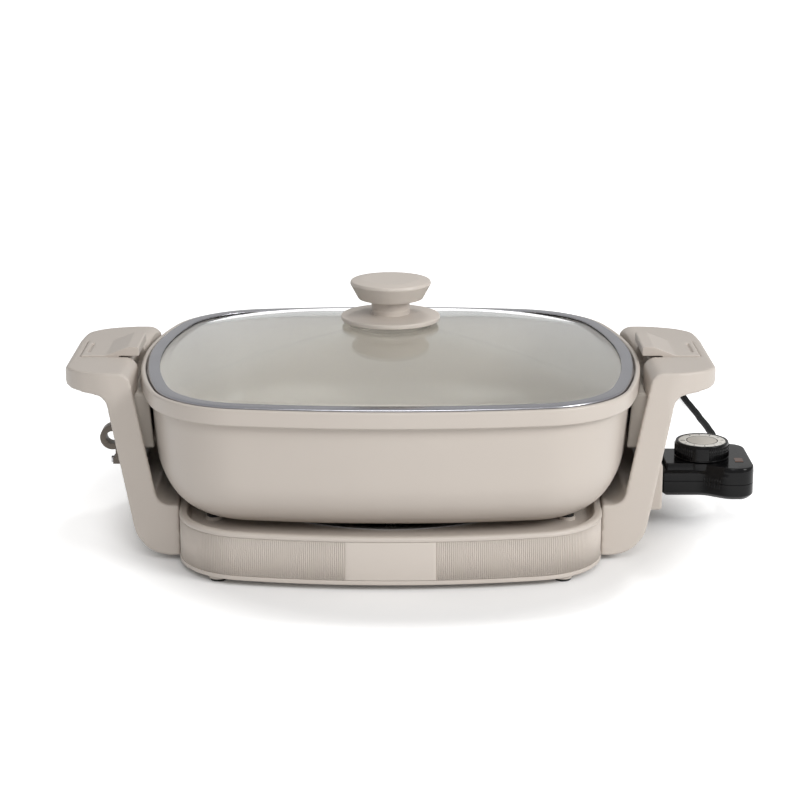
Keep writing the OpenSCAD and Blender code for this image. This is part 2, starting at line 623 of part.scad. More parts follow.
module arm_taper(inset) {
    rotate([90, 0, 90]) linear_extrude(handle_x + 2 * over) polygon([
        [inset - arm_bottom_half, foot_h], [arm_bottom_half - inset, foot_h],
        [arm_top_half - inset, handle_z], [inset - arm_top_half, handle_z]]);
}
module arm_plan() {
    wide = arm_bottom_half + 20;
    root = arm_half_at(leg_top_z);
    translate([0, 0, foot_h - over]) linear_extrude(handle_z - foot_h + 2 * over) polygon(rounded([
        [arm_foot_x - 20, -wide, 0], [leg_out_top_x - 2, -wide, 0], [leg_out_top_x - 2, -root, 0],
        [handle_x, -handle_tip_half, handle_corner_r], [handle_x, handle_tip_half, handle_corner_r],
        [leg_out_top_x - 2, root, 0], [leg_out_top_x - 2, wide, 0], [arm_foot_x - 20, wide, 0]]));
}
module arm() difference() {
    intersection() {
        side_profile(arm_outline, arm_bottom_half + over);
        arm_taper(0);
        arm_plan();
    }
    // Follows the base's side at the foot, and the pan's bowed rim above
    translate([0, 0, foot_h - over]) linear_extrude(base_h + over + 2) polygon(outline(base_o, seat_gap));
    translate([0, 0, band_under_z - 3]) linear_extrude(handle_z) polygon(outline(pan_o, arm_clear));
    // Hollow of the leg, open towards the pan
    intersection() {
        side_profile([
            [leg_in_low_x - 20, cavity_low_z], [leg_out_x(cavity_low_z) - arm_wall, cavity_low_z],
            [leg_out_x(cavity_high_z) - arm_wall, cavity_high_z], [leg_in_low_x - 20, cavity_high_z]],
            arm_bottom_half);
        arm_taper(arm_wall + 1);
    }
    // Bay below the latch, its pocket in the handle's top, and the slot between them
    side_profile([
        [bay_in_x, cavity_high_z - 2], [leg_out_x(cavity_high_z) - arm_wall, cavity_high_z - 2],
        [leg_out_top_x, handle_under_z(leg_out_top_x) + arm_wall],
        [stem_x + stem_l + 5, handle_under_z(stem_x + stem_l + 5) + arm_wall],
        [stem_x + stem_l + 5, bay_z], [bay_in_x, bay_z]], bay_half);
    box([latch_body_x - latch_travel - slide_gap, -latch_half - slide_gap, pocket_z],
        [latch_end_x + slide_gap, latch_half + slide_gap, handle_z + over]);
    box([stem_x - latch_travel - slide_gap, -stem_half - slide_gap, bay_z - over],
        [stem_x + stem_l + slide_gap, stem_half + slide_gap, pocket_z + over]);
    for (y = [-arm_screw_y, arm_screw_y])
        rod_x(arm_foot_x - 8, arm_foot_x + 12, y, arm_screw_z, pilot_d);
}
module left_arm() color(greige) left_side() difference() {
    arm();
    clip_screw_hole();
}
module right_arm() color(greige) difference() {
    arm();
    probe_tunnel();
}
// The panel lies along the leg's inner face, let in behind it and hollowed to clear the pan's bowed wall
function pan_wall_t(z) = lid_seat_t - (band_under_z - z) * tan(pan_draft);
module beside_pan(low, high) difference() {
    side_profile([[leg_in_x(low) + liner_inset, low], [handle_x, low], [handle_x, high],
                  [leg_in_x(high) + liner_inset, high]], arm_bottom_half);
    loft([for (z = [low - over, high + over]) ring_at(pan_o, pan_wall_t(z) + liner_gap, z)]);
}
module liner() color(pale) intersection() {
    high = cavity_high_z - seat_gap;
    difference() {
        beside_pan(liner_low_z, high);
        translate([liner_t, 0, 0]) beside_pan(liner_low_z - 1, high + 1);
    }
    arm_taper(arm_wall + 1 + seat_gap);
}
module left_liner() left_side() liner();
module right_liner() liner();

module latch() color(greige) {
    difference() {
        side_profile(rounded([
            [latch_end_x, pocket_z + lift_gap, 0], [latch_end_x, handle_z + plate_rise, 0.6],
            [latch_end_x - 18, handle_z + plate_rise, 4], [latch_body_x - 6.5, tongue_z + tongue_t, 3],
            [latch_tip_x, tongue_z + tongue_t, 1.2], [latch_tip_x, tongue_z, 1],
            [latch_body_x, tongue_z, 0], [latch_body_x, pocket_z + lift_gap, 0]], 4), latch_half);
        box([latch_end_x - 3.5 - slot_w, -slot_half, handle_z + plate_rise - slot_depth],
            [latch_end_x - 3.5, slot_half, handle_z + plate_rise + over]);
    }
    difference() {
        box([stem_x, -stem_half, bay_z - lift_gap], [stem_x + stem_l, stem_half, pocket_z + 1]);
        translate([stem_x + stem_l / 2, 0, bay_z - over]) cylinder(d = 2.6, h = 5);
    }
}
module latch_keeper() color(graphite) difference() {
    box([stem_x - 3, -12, bay_z - lift_gap - keeper_t], [stem_x + stem_l + 3, 12, bay_z - lift_gap]);
    translate([stem_x + stem_l / 2, 0, bay_z - keeper_t - over]) cylinder(d = 3, h = keeper_t + over);
}
module latch_screw() color(steel) translate([stem_x + stem_l / 2, 0, bay_z - lift_gap - keeper_t]) {
    translate([0, 0, -1.4]) cylinder(d = 5, h = 1.4);
    translate([0, 0, -0.5]) cylinder(d = 2.4, h = keeper_t + 3);
}
module left_latch() left_side() latch();
module right_latch() latch();
module left_latch_keeper() left_side() latch_keeper();
module right_latch_keeper() latch_keeper();
module left_latch_screw() left_side() latch_screw();
module right_latch_screw() latch_screw();
module arm_screws() color(steel) for (x = [-1, 1], y = [-1, 1])
    rotate([0, 0, x > 0 ? 0 : 180]) {
        rod_x(arm_screw_x - 2.2, arm_screw_x, y * arm_screw_y, arm_screw_z, 6.4);
        rod_x(arm_screw_x - 1, arm_foot_x + 10, y * arm_screw_y, arm_screw_z, pilot_d - 2 * seat_gap);
    }

// Cord clip: a loop with a stem, screwed to the left arm
clip_x = leg_out_x(clip_z) + 15;
clip_stem_t = 5;
clip_foot_z = clip_z - clip_d - 2;
clip_foot_t = 4.5;
clip_axis_z = clip_foot_z + clip_foot_t / 2;
module clip_screw_hole() rod_x(leg_out_x(clip_axis_z) - arm_wall - 6, leg_out_x(clip_axis_z) + 2,
                               0, clip_axis_z, 2.2);
module cord_clip() color([0.42, 0.38, 0.34]) left_side() difference() {
    rotate([90, 0, 0]) translate([0, 0, -clip_w / 2]) linear_extrude(clip_w) difference() {
        union() {
            translate([clip_x, clip_z]) circle(d = clip_d);
            translate([clip_x - clip_d / 2 + 2, clip_foot_z]) square([clip_stem_t, clip_z - clip_foot_z]);
            polygon([[leg_out_x(clip_foot_z) + seat_gap, clip_foot_z], [clip_x, clip_foot_z],
                     [clip_x, clip_foot_z + clip_foot_t],
                     [leg_out_x(clip_foot_z + clip_foot_t) + seat_gap, clip_foot_z + clip_foot_t]]);
        }
        translate([clip_x, clip_z]) circle(d = clip_hole_d);
    }
    rod_x(leg_out_x(clip_axis_z) - 2, clip_x + over, 0, clip_axis_z, 2.4);
}
module clip_screw() color(steel) left_side() {
    rod_x(clip_x, clip_x + 1.6, 0, clip_axis_z, 5);
    rod_x(leg_out_x(clip_axis_z) - arm_wall - 4, clip_x + 0.5, 0, clip_axis_z, 2);
}

// Controller. The nose slides into the right arm, and the case stays outside its shroud.
shroud_x = leg_out_x(base_top_z) + 14;
case_x = shroud_x + 1;
case_end_x = case_x + case_l;
nose_x = base_side_x + 6;
nose_low_z = probe_z - 6;
nose_high_z = nose_low_z + 25;
case_low_z = nose_low_z + 6.5;
split_z = case_low_z + lower_h;
case_top_z = split_z + upper_h;
dial_x = case_x + 31;
shroud_half = neck_half + 9;
shroud_high_z = nose_high_z + 12;

module probe_tunnel() box([arm_foot_x - 10, -neck_half - slide_gap, nose_low_z - slide_gap],
                          [shroud_x + over, neck_half + slide_gap, nose_high_z + slide_gap]);
module probe_shroud() color(greige) difference() {
    side_profile(rounded([
        [leg_out_x(nose_low_z - 1) + seat_gap, nose_low_z - 1, 0], [shroud_x, nose_low_z - 1, 2],
        [shroud_x, shroud_high_z - 4, 3], [leg_out_x(shroud_high_z) + 4, shroud_high_z, 2],
        [leg_out_x(shroud_high_z) + seat_gap, shroud_high_z, 0]]), shroud_half);
    probe_tunnel();
}

// Plan of the case: a neck that flares into the wide outer end, each drawn in by its own inset
flare = 8;
flare_r = 16;
end_r = 12;
foot_bevel = 3;
function case_plan(neck_in, end_in) = let (x0 = case_end_x - end_l - flare, x1 = x0 + 2 * flare) rounded([
    [case_x + neck_in, neck_in - neck_half, 1.5], [x0 + neck_in / 2, neck_in - neck_half, flare_r],
    [x1 + end_in / 2, end_in - end_half, flare_r], [case_end_x - end_in, end_in - end_half, end_r - end_in],
    [case_end_x - end_in, end_half - end_in, end_r - end_in], [x1 + end_in / 2, end_half - end_in, flare_r],
    [x0 + neck_in / 2, neck_half - neck_in, flare_r], [case_x + neck_in, neck_half - neck_in, 1.5]], 4);
function case_ring(neck_in, end_in, z) = [for (p = case_plan(neck_in, end_in)) [p[0], p[1], z]];
// Round the dial the case rises straight to its top
collar_d = min(dial_d + 3, 2 * neck_half - 1.5);
relief_x = case_end_x - 13;
relief_z = split_z;
case_screw_at = [for (y = [-1, 1]) [case_end_x - 9, y * (end_half - 9)]];
cord_hole_d = cord_d + 4;
lens_l = 6;
lens_w = 9;
lens_at = [case_end_x - 9.5, -11];

module controller_lower_case() color(black) difference() {
    loft([case_ring(foot_bevel, foot_bevel, case_low_z), case_ring(0, 0, case_low_z + foot_bevel),
          case_ring(0, 0, split_z)]);
    translate([0, 0, case_low_z + case_wall]) linear_extrude(lower_h) polygon(case_plan(case_wall, case_wall));
    translate([relief_x, end_half - case_wall - over, relief_z]) rotate([-90, 0, 0])
        cylinder(d = cord_hole_d, h = case_wall + 2 * over);
    for (p = case_screw_at) translate([p[0], p[1], case_low_z - over])
        cylinder(d = 3, h = case_wall + 2 * over);
}
module controller_upper_case() color(black) difference() {
    union() {
        loft([case_ring(0, 0, split_z + 0.05), case_ring(0, 0, case_top_z - case_bevel),
              case_ring(case_bevel * 0.5, 0.2, case_top_z - 1.2),
              case_ring(case_bevel * 0.6, 0.6, case_top_z - 0.4),
              case_ring(case_bevel * 0.6 + 1, 1.6, case_top_z)]);
        translate([dial_x, 0, case_top_z - case_bevel]) cylinder(d = collar_d, h = case_bevel - 0.2);
    }
    translate([0, 0, split_z - over]) linear_extrude(upper_h - case_bevel + over)
        polygon(case_plan(case_wall, case_wall));
    translate([dial_x, 0, split_z]) cylinder(d = shaft_d + 2 * shaft_gap, h = upper_h + over);
    box([lens_at[0] - lens_l / 2 - seat_gap, lens_at[1] - lens_w / 2 - seat_gap, split_z],
        [lens_at[0] + lens_l / 2 + seat_gap, lens_at[1] + lens_w / 2 + seat_gap, case_top_z + over]);
    translate([relief_x, end_half - case_wall - over, relief_z]) rotate([-90, 0, 0])
        cylinder(d = cord_hole_d, h = case_wall + 2 * over);
}
socket_d = 7.4;
socket_bore_l = 26;
module probe_nose() color(graphite) difference() {
    box([nose_x, -neck_half, nose_low_z], [case_x - seat_gap, neck_half, nose_high_z]);
    for (y = [-lead_y, lead_y])
        rod_x(nose_x - over, nose_x + socket_bore_l, y, probe_z, socket_d + 2 * seat_gap);
    rod_x(nose_x - over, nose_x + socket_bore_l + 4, 0, probe_z, probe_d + 2 * seat_gap);
}
module contact_sockets() color([0.8, 0.7, 0.4]) for (y = [-lead_y, lead_y]) difference() {
    rod_x(nose_x + 1, nose_x + socket_bore_l, y, probe_z, socket_d);
    rod_x(nose_x - over, nose_x + socket_bore_l - 2, y, probe_z, pin_d + 0.3);
}
module probe_rod() color(steel) {
    rod_x(nose_x - probe_l, nose_x + socket_bore_l + 2, 0, probe_z, probe_d);
    translate([nose_x - probe_l, 0, probe_z]) sphere(d = probe_d);
}
module thermostat() color([0.75, 0.72, 0.66])
    box([case_x + case_wall + 0.3, -13, case_low_z + case_wall], [dial_x + 8, 13, split_z + 2]);
module controller_screws() color(steel) for (p = case_screw_at) translate([p[0], p[1], case_low_z - 1.2]) {
    cylinder(d = 5, h = 1.2);
    cylinder(d = 2.6, h = lower_h + upper_h - case_bevel);
}
module indicator_lens() color([0.8, 0.45, 0.1])
    box([lens_at[0] - lens_l / 2, lens_at[1] - lens_w / 2, case_top_z - case_bevel - 0.5],
        [lens_at[0] + lens_l / 2, lens_at[1] + lens_w / 2, case_top_z + 0.3]);

// Dial
dial_z = case_top_z + 0.4;
flute_points = 4;
flute_depth = 0.35;
plate_recess = 1;
dial_plate_d = dial_d - 2 * dial_rim_w;
// The dial's front is left smooth between two angles
function plain_front(a) = a > 244 && a < 279;
function flute_r(k, a) =
    dial_d / 2 - flute_depth * (k % flute_points < flute_points / 2 || plain_front(a) ? 0 : 1);
module dial() color(black) difference() {
    union() {
        translate([dial_x, 0, dial_z]) linear_extrude(dial_h - 1.2) polygon([
            for (k = [0:dial_flutes * flute_points - 1]) let (a = 360 * k / (dial_flutes * flute_points))
                flute_r(k, a) * [cos(a), sin(a)]]);
        translate([dial_x, 0, dial_z + dial_h - 2]) cylinder(d1 = dial_d - 1, d2 = dial_d - 1.8, h = 2);
    }
    translate([dial_x, 0, dial_z + dial_h - plate_recess]) cylinder(d = dial_plate_d, h = plate_recess + over);
    translate([dial_x, 0, dial_z - over]) cylinder(d = shaft_d + 2 * seat_gap, h = dial_h - 3 + over);
}
module dial_plate() color(pale) translate([dial_x, 0, dial_z + dial_h - plate_recess])
    cylinder(d = dial_plate_d - 2 * seat_gap, h = plate_recess - 0.3);
module dial_shaft() color(steel) translate([dial_x, 0, split_z + 2.3])
    cylinder(d = shaft_d, h = dial_z + dial_h - 3.2 - split_z - 2.3);

// Cord: out of the back of the case, down to the table, and behind the pan to a coil
lie_z = 3.8;
cord_route = [
    [relief_x, end_half + relief_l, relief_z], [250.5, 80, 37.5], [252, 98, 35], [254, 114, 32.5],
    [255.5, 130, 30], [257, 155, 26],
    [258.5, 178, 22.5], [260, 205, 18], [261, 231, 14], [262, 250, 11.5], [262.5, 266, 9.5],
    [262.5, 284, 7.5], [262.5, 300, 6], [262, 320, 4.5], [261, 342, lie_z], [257.5, 364, lie_z],
    [249.5, 385, lie_z], [236.5, 401, lie_z], [219, 411.5, lie_z], [198, 416.5, lie_z], [176, 417, lie_z],
    [156, 417, lie_z]];
route_steps = 2;
// The coil starts where the route ends, heading to -X
coil_x = 150;
coil_y = 383;
coil_r = 34;
coil_step = cord_d + 1;
layer_h = cord_d + 0.6;
loop_rings = 24;
tail_l = 34;
half_turns = coil_loops * 180;
function coil_radius(a) = coil_r - coil_step * (a < half_turns ? a : 2 * half_turns - a) / 360;
function climb(a) = let (f = min(max((a - half_turns + 90) / 180, 0), 1)) layer_h * f * f * (3 - 2 * f);
function coil_point(a) = [coil_x - coil_radius(a) * sin(a), coil_y + coil_radius(a) * cos(a), lie_z + climb(a)];
coil_turns = [for (i = [0:coil_loops * loop_rings]) coil_point(360 * i / loop_rings)];
coil_end = coil_turns[len(coil_turns) - 1];
coil_path = concat([cord_route[len(cord_route) - 1] - [seat_gap, 0, 0]], coil_turns,
                   [coil_end - [cord_d, 0, 0], coil_end - [tail_l, 0, 0]]);
// Least gap between turns that are half a loop or more apart
coil_self_gap = min([for (i = [0:len(coil_turns) - 1], j = [i + loop_rings / 2:1:len(coil_turns) - 1])
    norm(coil_turns[i] - coil_turns[j])]) - cord_d;
plug_x = coil_end[0] - tail_l;

module strain_relief() color(graphite) translate([relief_x, end_half - case_wall, relief_z]) rotate([-90, 0, 0])
    difference() {
        union() {
            cylinder(d1 = cord_hole_d - 0.2, d2 = cord_hole_d - 0.2, h = case_wall);
            translate([0, 0, case_wall]) cylinder(d1 = cord_d + 7, d2 = cord_d + 2, h = relief_l);
        }
        translate([0, 0, -over]) cylinder(d = cord_d + 0.2, h = case_wall + relief_l + 2 * over);
    }
module power_cord() color(graphite) tube(smooth(cord_route, route_steps), cord_d, 8);
module cord_coil() color(graphite) tube(coil_path, cord_d, 6);
tie_half = 4;
tie_gap = 0.4;
tie_t = 0.55;
module cord_tie() {
    half = cord_d / 2 + tie_gap;
    high = lie_z + layer_h + half;
    color(black) translate([coil_x, coil_y - coil_radius(180), 0]) difference() {
        box([-tie_half, -half - tie_t, 0], [tie_half, half + tie_t, high + tie_t]);
        box([-tie_half - over, -half, tie_t], [tie_half + over, half, high]);
    }
}
plug_l = 34;
plug_half = 13;
plug_z = coil_end[2];
module plug_body() color(black) translate([plug_x, coil_end[1], plug_z]) rotate([0, -90, 0])
    linear_extrude(plug_l) polygon(rounded([
        [-plug_z, -plug_half, 3], [plug_z, -plug_half, 6], [plug_z, plug_half, 6], [-plug_z, plug_half, 3]]));
blade_l = 17;
blade_w = 6.4;
blade_t = 1.5;
blade_spacing = 12.7;
module plug_blades() color([0.8, 0.72, 0.45]) for (side = [-1, 1])
    translate([plug_x - plug_l - blade_l / 2, coil_end[1] + side * blade_spacing / 2, plug_z])
        cube([blade_l, blade_t, blade_w], center = true);

echo(str("least gap between the coil's turns: ", coil_self_gap));
echo(str("cord length: ", path_length(smooth(cord_route, 8)) + path_length(coil_path)));

pan();
lid_glass();
lid_rim();
knob();
knob_base();
knob_gasket();
knob_screw();
base_shell();
front_band();
rear_band();
bottom_plate();
heat_shield();
heating_element();
element_clips();
terminal_block();
terminal_pins();
pan_pads();
feet();
base_screws();
arm_screws();
left_arm();
right_arm();
left_liner();
right_liner();
left_latch();
right_latch();
left_latch_keeper();
right_latch_keeper();
left_latch_screw();
right_latch_screw();
probe_shroud();
cord_clip();
clip_screw();
controller_lower_case();
controller_upper_case();
probe_nose();
probe_rod();
contact_sockets();
thermostat();
controller_screws();
indicator_lens();
dial();
dial_plate();
dial_shaft();
strain_relief();
power_cord();
cord_coil();
cord_tie();
plug_body();
plug_blades();
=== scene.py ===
from math import acos, atan2, cos, pi, radians, sin, tan

import bmesh
import bpy
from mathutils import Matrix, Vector


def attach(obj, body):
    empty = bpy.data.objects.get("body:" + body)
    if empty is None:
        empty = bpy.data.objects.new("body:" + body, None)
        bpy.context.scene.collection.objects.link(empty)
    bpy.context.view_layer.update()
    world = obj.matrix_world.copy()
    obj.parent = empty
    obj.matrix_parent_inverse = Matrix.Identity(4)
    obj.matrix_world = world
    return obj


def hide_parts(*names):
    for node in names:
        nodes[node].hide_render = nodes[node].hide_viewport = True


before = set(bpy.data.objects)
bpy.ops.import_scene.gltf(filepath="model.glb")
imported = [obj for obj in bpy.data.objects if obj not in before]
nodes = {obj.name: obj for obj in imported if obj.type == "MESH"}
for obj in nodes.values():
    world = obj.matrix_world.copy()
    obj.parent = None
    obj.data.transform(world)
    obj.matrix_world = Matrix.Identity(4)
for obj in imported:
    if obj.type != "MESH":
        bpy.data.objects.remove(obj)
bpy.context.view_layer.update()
scene = bpy.context.scene
scene.view_settings.view_transform = "Standard"
print("frame loaded,", len(nodes), "solids")

# camera

cameraSet = {"place": (0, -1.512, 0.504), "tilt": 76, "lens": 96.6, "sensor": 36, "reach": 60,
             "shift": (0.01175, -0.0566)}


def addObject(name, data):
    item = bpy.data.objects.new(name, data)
    scene.collection.objects.link(item)
    return item


def makeCamera(s):
    data = bpy.data.cameras.new("photoCamera")
    data.lens = s["lens"]
    data.sensor_width = s["sensor"]
    data.shift_x, data.shift_y = s["shift"]
    data.clip_end = s["reach"]
    camera = addObject("photoCamera", data)
    camera.location = s["place"]
    camera.rotation_euler = (radians(s["tilt"]), 0, 0)
    scene.camera = camera


makeCamera(cameraSet)

# mesh helpers, all sizes in millimetres until a mesh is made

mm = 0.001
tiny = 1e-6


def m(p):
    return tuple(c * mm for c in p)


def editMesh(piece, change):
    bm = bmesh.new()
    bm.from_mesh(piece.data)
    change(bm)
    bm.to_mesh(piece.data)
    bm.free()
    return piece


def fixNormals(piece):
    def change(bm):
        bmesh.ops.remove_doubles(bm, verts=bm.verts, dist=tiny)
        bmesh.ops.recalc_face_normals(bm, faces=bm.faces)
    return editMesh(piece, change)


def softShade(piece, angle):
    # smooth faces, with hard edges where the surface turns by more than the angle
    def change(bm):
        for f in bm.faces:
            f.smooth = True
        for e in bm.edges:
            e.smooth = not (len(e.link_faces) == 2 and e.calc_face_angle(0) > radians(angle))
    return editMesh(piece, change)


def meshPiece(name, points, faces):
    mesh = bpy.data.meshes.new(name)
    mesh.from_pydata([m(p) for p in points], [], faces)
    piece = addObject(name, mesh)
    return fixNormals(piece) if faces else piece


def loftPiece(name, rings, looped=False):
    n = len(rings[0])
    count = len(rings)
    points = [p for ring in rings for p in ring]
    faces = []
    for i in range(count if looped else count - 1):
        for j in range(n):
            k = (j + 1) % n
            nextRow = (i + 1) % count
            faces.append((i * n + j, i * n + k, nextRow * n + k, nextRow * n + j))
    if not looped:
        faces.append(tuple(range(n - 1, -1, -1)))
        faces.append(tuple((count - 1) * n + j for j in range(n)))
    return meshPiece(name, points, faces)


def circlePoints(r, steps, centre=(0, 0)):
    turns = [2 * pi * k / steps for k in range(steps)]
    return [(centre[0] + r * cos(a), centre[1] + r * sin(a)) for a in turns]


def lathePiece(name, profile, centre=(0, 0), steps=128):
    points = []
    faces = []
    rows = []
    for r, z in profile:
        if r < tiny:
            rows.append([len(points)] * steps)
            points.append((centre[0], centre[1], z))
            continue
        rows.append([len(points) + k for k in range(steps)])
        points += [(x, y, z) for x, y in circlePoints(r, steps, centre)]
    for a, b in zip(rows, rows[1:]):
        for k in range(steps):
            j = (k + 1) % steps
            corner = [a[k], a[j], b[j], b[k]]
            face = [v for i, v in enumerate(corner) if v not in corner[:i]]
            if len(face) > 2:
                faces.append(tuple(face))
    return meshPiece(name, points, faces)


def roundLine(points, steps, closed=False):
    # a flat line of [x, z, radius] with its corners rounded
    line = []
    n = len(points)
    for i, (x, z, r) in enumerate(points):
        if r == 0 or (not closed and i in (0, n - 1)):
            line.append((x, z))
            continue
        here = Vector((x, z))
        u = (Vector(points[i - 1][:2]) - here).normalized()
        v = (Vector(points[(i + 1) % n][:2]) - here).normalized()
        half = acos(max(-1, min(1, u.dot(v)))) / 2
        middle = here + (u + v).normalized() * r / sin(half)
        start = here + u * r / tan(half) - middle
        end = here + v * r / tan(half) - middle
        a = atan2(start.y, start.x)
        sweep = (atan2(end.y, end.x) - a + 3 * pi) % (2 * pi) - pi
        turns = [a + sweep * k / steps for k in range(steps + 1)]
        line += [(middle.x + r * cos(k), middle.y + r * sin(k)) for k in turns]
    return line


def boxLine(x, y):
    return [(x[0], y[0]), (x[1], y[0]), (x[1], y[1]), (x[0], y[1])]


def between(x, a, b):
    return a[1] + (b[1] - a[1]) * (x - a[0]) / (b[0] - a[0])


def ease(value, low, high):
    k = min(max((value - low) / (high - low), 0), 1)
    return k * k * (3 - 2 * k)


def outlineArcs(o):
    # of an outline of half width, half depth, corner radius, side bow and front bow: the corner's centre,
    # the radii of side and front, and the angles at which the corner starts and ends
    w, d, r, sideBow, frontBow = o
    cx = w - sideBow - r
    cy = d - frontBow - r
    sideR = (cy ** 2 + (w - cx) ** 2 - r ** 2) / (2 * sideBow)
    frontR = (cx ** 2 + (d - cy) ** 2 - r ** 2) / (2 * frontBow)
    return cx, cy, sideR, frontR, atan2(cy, cx - w + sideR), atan2(cy - d + frontR, cx)


def bowedOutline(o, t, steps=(12, 22, 16)):
    # the whole outline, every arc of it set out by t
    w, d, r = o[:3]
    cx, cy, sideR, frontR, a, b = outlineArcs(o)
    arcs = [(w - sideR, 0, sideR, 0, a), (cx, cy, r, a, b), (0, d - frontR, frontR, b, pi / 2)]
    there = []
    for (x, y, radius, low, high), n in zip(arcs, steps):
        turns = [low + (high - low) * i / n for i in range(n)]
        there += [(x + (radius + t) * cos(k), y + (radius + t) * sin(k)) for k in turns]
    back = [(0, d + t)] + there[:0:-1]
    return there + [(-x, y) for x, y in back] + [(-x, -y) for x, y in there] + [(x, -y) for x, y in back]


def sideCurve(o, t, y):
    # x of the outline's side, set out by t, at a distance y from the middle of the side
    sideR = outlineArcs(o)[2]
    return o[0] - sideR + ((sideR + t) ** 2 - y ** 2) ** 0.5


def outlineRings(o, profile):
    return [[(x, y, z) for x, y in bowedOutline(o, t)] for t, z in profile]


def prism(name, line, axis, low, high):
    # a flat line pushed along one axis: x takes (y, z), y takes (x, z), z takes (x, y)
    i = "xyz".index(axis)
    return loftPiece(name, [[(*p[:i], h, *p[i:]) for p in line] for h in (low, high)])


def plainMesh(piece):
    # turns modifiers into a plain mesh
    bpy.context.view_layer.update()
    shape = piece.evaluated_get(bpy.context.evaluated_depsgraph_get())
    mesh = bpy.data.meshes.new_from_object(shape)
    old = piece.data
    piece.modifiers.clear()
    piece.data = mesh
    mesh.name = piece.name
    bpy.data.meshes.remove(old)
    return piece


def discard(piece):
    mesh = piece.data
    bpy.data.objects.remove(piece)
    bpy.data.meshes.remove(mesh)


def joinCut(piece, cuts):
    for kind, tool in cuts:
        cut = piece.modifiers.new("cut", "BOOLEAN")
        cut.operation = kind
        cut.solver = "EXACT"
        cut.object = tool
    plainMesh(piece)
    for kind, tool in cuts:
        discard(tool)
    return piece


def joinMeshes(name, parts):
    bm = bmesh.new()
    for part in parts:
        bm.from_mesh(part.data)
        discard(part)
    mesh = bpy.data.meshes.new(name)
    bm.to_mesh(mesh)
    bm.free()
    return addObject(name, mesh)


def moulded(piece, voxel, passes):
    # softens all edges, like those of a moulding
    grid = piece.modifiers.new("grid", "REMESH")
    grid.mode = "VOXEL"
    grid.voxel_size = voxel
    smooth = piece.modifiers.new("smooth", "SMOOTH")
    smooth.factor = 0.5
    smooth.iterations = passes
    plainMesh(piece)
    for f in piece.data.polygons:
        f.use_smooth = True
    return piece


def bevelled(piece, width, steps, angle=40):
    edge = piece.modifiers.new("edge", "BEVEL")
    edge.width = width
    edge.segments = steps
    edge.limit_method = "ANGLE"
    edge.angle_limit = radians(angle)
    return plainMesh(piece)


def copyNode(node, name):
    mesh = nodes[node].data.copy()
    mesh.materials.clear()
    return addObject(name, mesh)


def softCopy(node, name, voxel, passes):
    return moulded(fixNormals(copyNode(node, name)), voxel, passes)


def bevelCopy(node, name, width, steps):
    def change(bm):
        bmesh.ops.remove_doubles(bm, verts=bm.verts, dist=tiny)
        bmesh.ops.dissolve_limit(bm, angle_limit=radians(1), verts=bm.verts, edges=bm.edges)
    return softShade(bevelled(editMesh(copyNode(node, name), change), width, steps, 35), 30)


def place(piece, body, material, replaced):
    for look in material if isinstance(material, list) else [material]:
        piece.data.materials.append(look)
    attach(piece, body)
    if replaced:
        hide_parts(*replaced)


# shader groups


def tint(r, g, b):
    def one(c):
        c /= 255
        return c / 12.92 if c <= 0.04045 else ((c + 0.055) / 1.055) ** 2.4
    return (one(r), one(g), one(b), 1)


def newGroup(name, inputs, outputs, treeKind="ShaderNodeTree"):
    group = bpy.data.node_groups.new(name, treeKind)
    for label, kind, value in inputs:
        socket = group.interface.new_socket(label, in_out="INPUT", socket_type="NodeSocket" + kind)
        if value is not None:
            socket.default_value = value
    for label, kind in outputs:
        group.interface.new_socket(label, in_out="OUTPUT", socket_type="NodeSocket" + kind)
    start = group.nodes.new("NodeGroupInput")
    end = group.nodes.new("NodeGroupOutput")
    return group, start.outputs, end.inputs


def feed(tree, socket, value):
    # a plain value is set, a socket is linked
    if isinstance(value, (int, float, tuple)):
        socket.default_value = value
    else:
        tree.links.new(value, socket)


def addNode(tree, kind, sources):
    node = tree.nodes.new(kind)
    for key, source in sources.items():
        feed(tree, node.inputs[key], source)
    return node.outputs


def mathNode(tree, operation, a, b):
    node = tree.nodes.new("ShaderNodeMath")
    node.operation = operation
    feed(tree, node.inputs[0], a)
    feed(tree, node.inputs[1], b)
    return node.outputs[0]


def vectorNode(tree, operation, *values):
    node = tree.nodes.new("ShaderNodeVectorMath")
    node.operation = operation
    for socket, value in zip(node.inputs, values):
        feed(tree, socket, value)
    return node.outputs


def noiseNode(tree, vector, scale, detail, rough=0.5):
    sources = {"Vector": vector, "Scale": scale, "Detail": detail, "Roughness": rough}
    return addNode(tree, "ShaderNodeTexNoise", sources)["Fac"]


def mixColour(tree, factor, a, b):
    node = tree.nodes.new("ShaderNodeMix")
    node.data_type = "RGBA"
    for index, value in ((0, factor), (6, a), (7, b)):
        feed(tree, node.inputs[index], value)
    return node.outputs[2]


def spread(tree, value, low, high):
    return addNode(tree, "ShaderNodeMapRange", {"Value": value, "To Min": low, "To Max": high})["Result"]


surfaceOutputs = [("Color", "Color"), ("Roughness", "Float"), ("Height", "Float")]


def endGroup(group, start, end, tone, rough, height):
    group.links.new(mixColour(group, tone, start["Dark"], start["Light"]), end["Color"])
    group.links.new(spread(group, rough, start["Smooth"], start["Rough"]), end["Roughness"])
    group.links.new(height, end["Height"])
    return group


